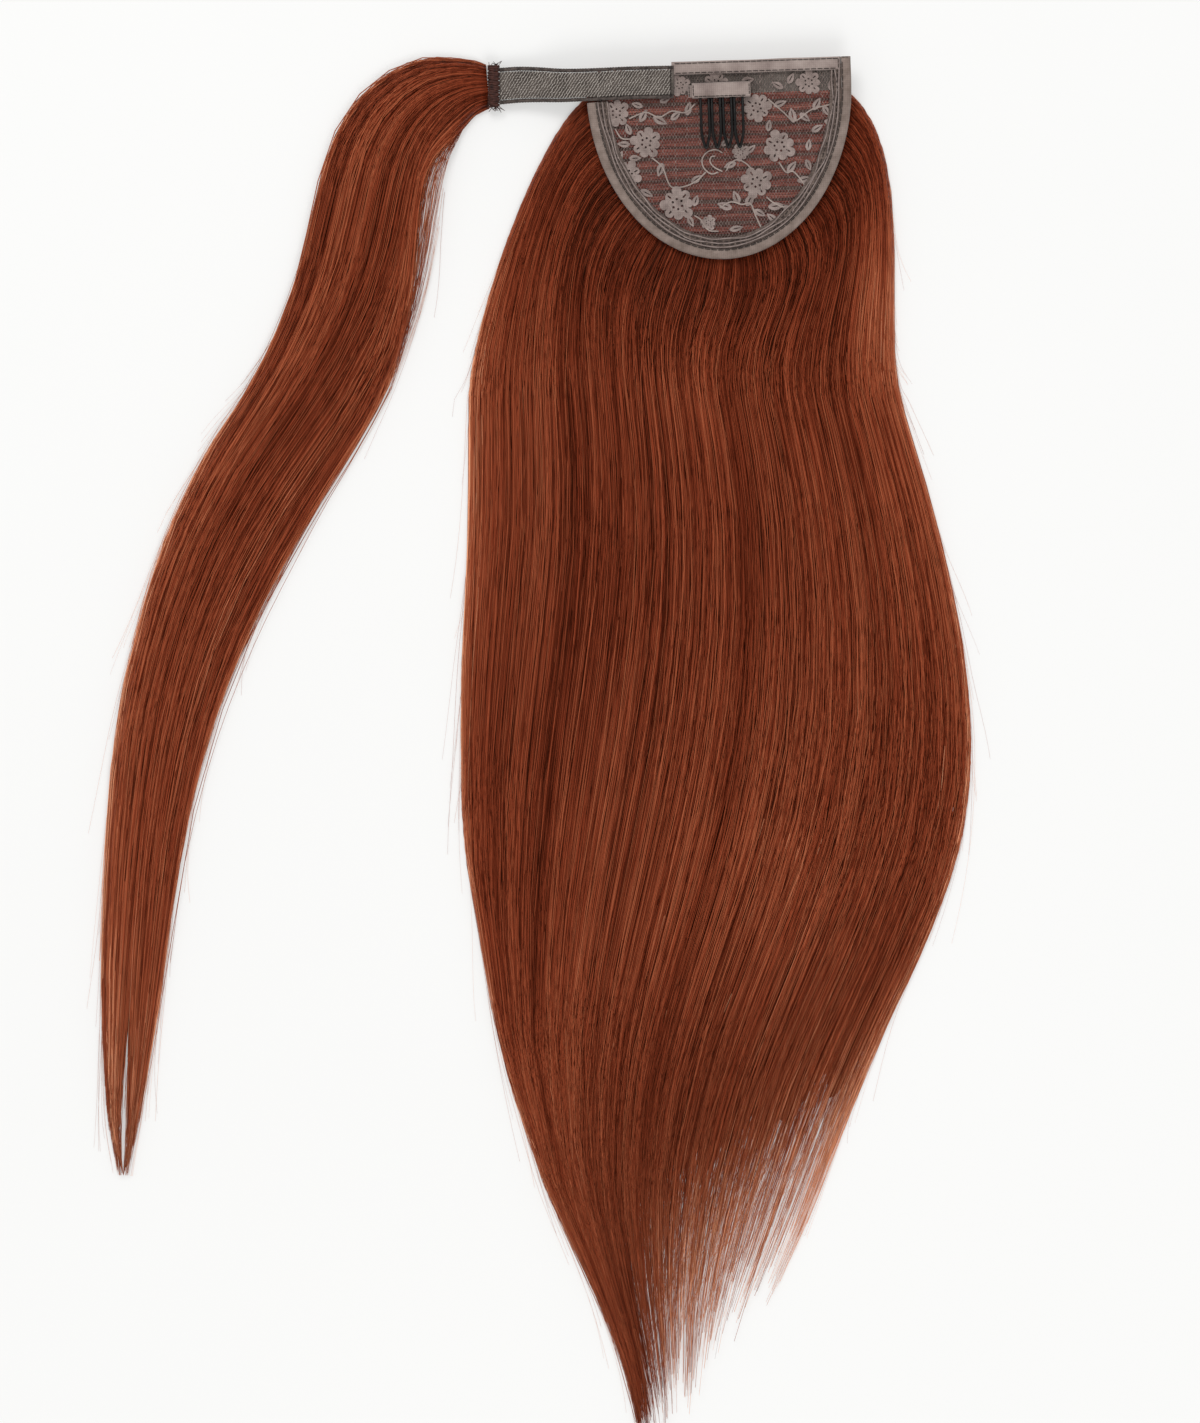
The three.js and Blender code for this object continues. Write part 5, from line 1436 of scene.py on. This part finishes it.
def head_section(y, grow=0.0):
    """The head's rounded section in x and z, at a height y."""
    turn = np.linspace(0, 2 * math.pi, HEAD_SIDES + 1)[:-1]
    half_x, half_z = (HEAD_RIGHT - HEAD_LEFT) / 2 + grow, (HEAD_HIGH - HEAD_LOW) / 2 + grow
    x = (HEAD_LEFT + HEAD_RIGHT) / 2 + half_x * np.sign(np.cos(turn)) * np.abs(np.cos(turn)) ** 0.6
    z = (HEAD_LOW + HEAD_HIGH) / 2 + half_z * np.sign(np.sin(turn)) * np.abs(np.sin(turn)) ** 0.6
    return np.stack([x, np.full_like(x, y), z], axis=-1)


head_heights = np.linspace(HEAD_BOTTOM_Y + 0.5, HEAD_TOP_Y - 0.5, HEAD_RINGS)
head_growth = np.full(HEAD_RINGS, -0.25)
head_growth[[0, -1]] = -0.7
head_rings = np.stack([head_section(y, grow) for y, grow in zip(head_heights, head_growth)])
head_faces = skin(*head_rings.shape[:2], mirrored=True)
head = new_piece("weft_head", on_table(head_rings), head_faces, hair)
# painted shade: the folded hair under the windings is given a dark tone
set_tone(head, np.full(head_rings.shape[:2], 0.22))
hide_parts("wrap_weft_head")
head_draw = np.random.default_rng(741)
winding_heights = np.linspace(HEAD_BOTTOM_Y + 0.6, HEAD_TOP_Y - 0.6, HEAD_WINDINGS)
windings = np.stack([head_section(y, 0.12) for y in winding_heights])
slant = head_draw.normal(0.1, 0.08, (HEAD_WINDINGS, 1))
windings[..., 1] += (windings[..., 0] - (HEAD_LEFT + HEAD_RIGHT) / 2) * slant
winding_part = tubes(windings, HEAD_THREAD, 5, closed=True)
loose_q = np.linspace(0, 1, 7)[None, :]
up_or_down = np.where(head_draw.random(HEAD_ENDS) < 0.5, 1, -1)[:, None]
loose_x = head_draw.uniform(HEAD_LEFT, HEAD_RIGHT, (HEAD_ENDS, 1))
loose_x = loose_x + head_draw.normal(0, 1.6, (HEAD_ENDS, 1)) * loose_q
loose_start = np.where(up_or_down > 0, HEAD_TOP_Y - 0.6, HEAD_BOTTOM_Y + 0.6)
loose_y = loose_start + up_or_down * head_draw.uniform(0.8, 2.6, (HEAD_ENDS, 1)) * loose_q
loose_z = 4.6 - 1.6 * loose_q ** 2 + np.zeros((HEAD_ENDS, 1))
loose_part = tubes(np.stack([loose_x, loose_y, loose_z], axis=-1), 0.14)
oversewing_thread = sewing_thread("dark_oversewing_thread", "#2a1713", "#4c2c24")
thread_points, thread_faces = joined([winding_part, loose_part])
new_piece("head_windings", on_table(thread_points), thread_faces, oversewing_thread)
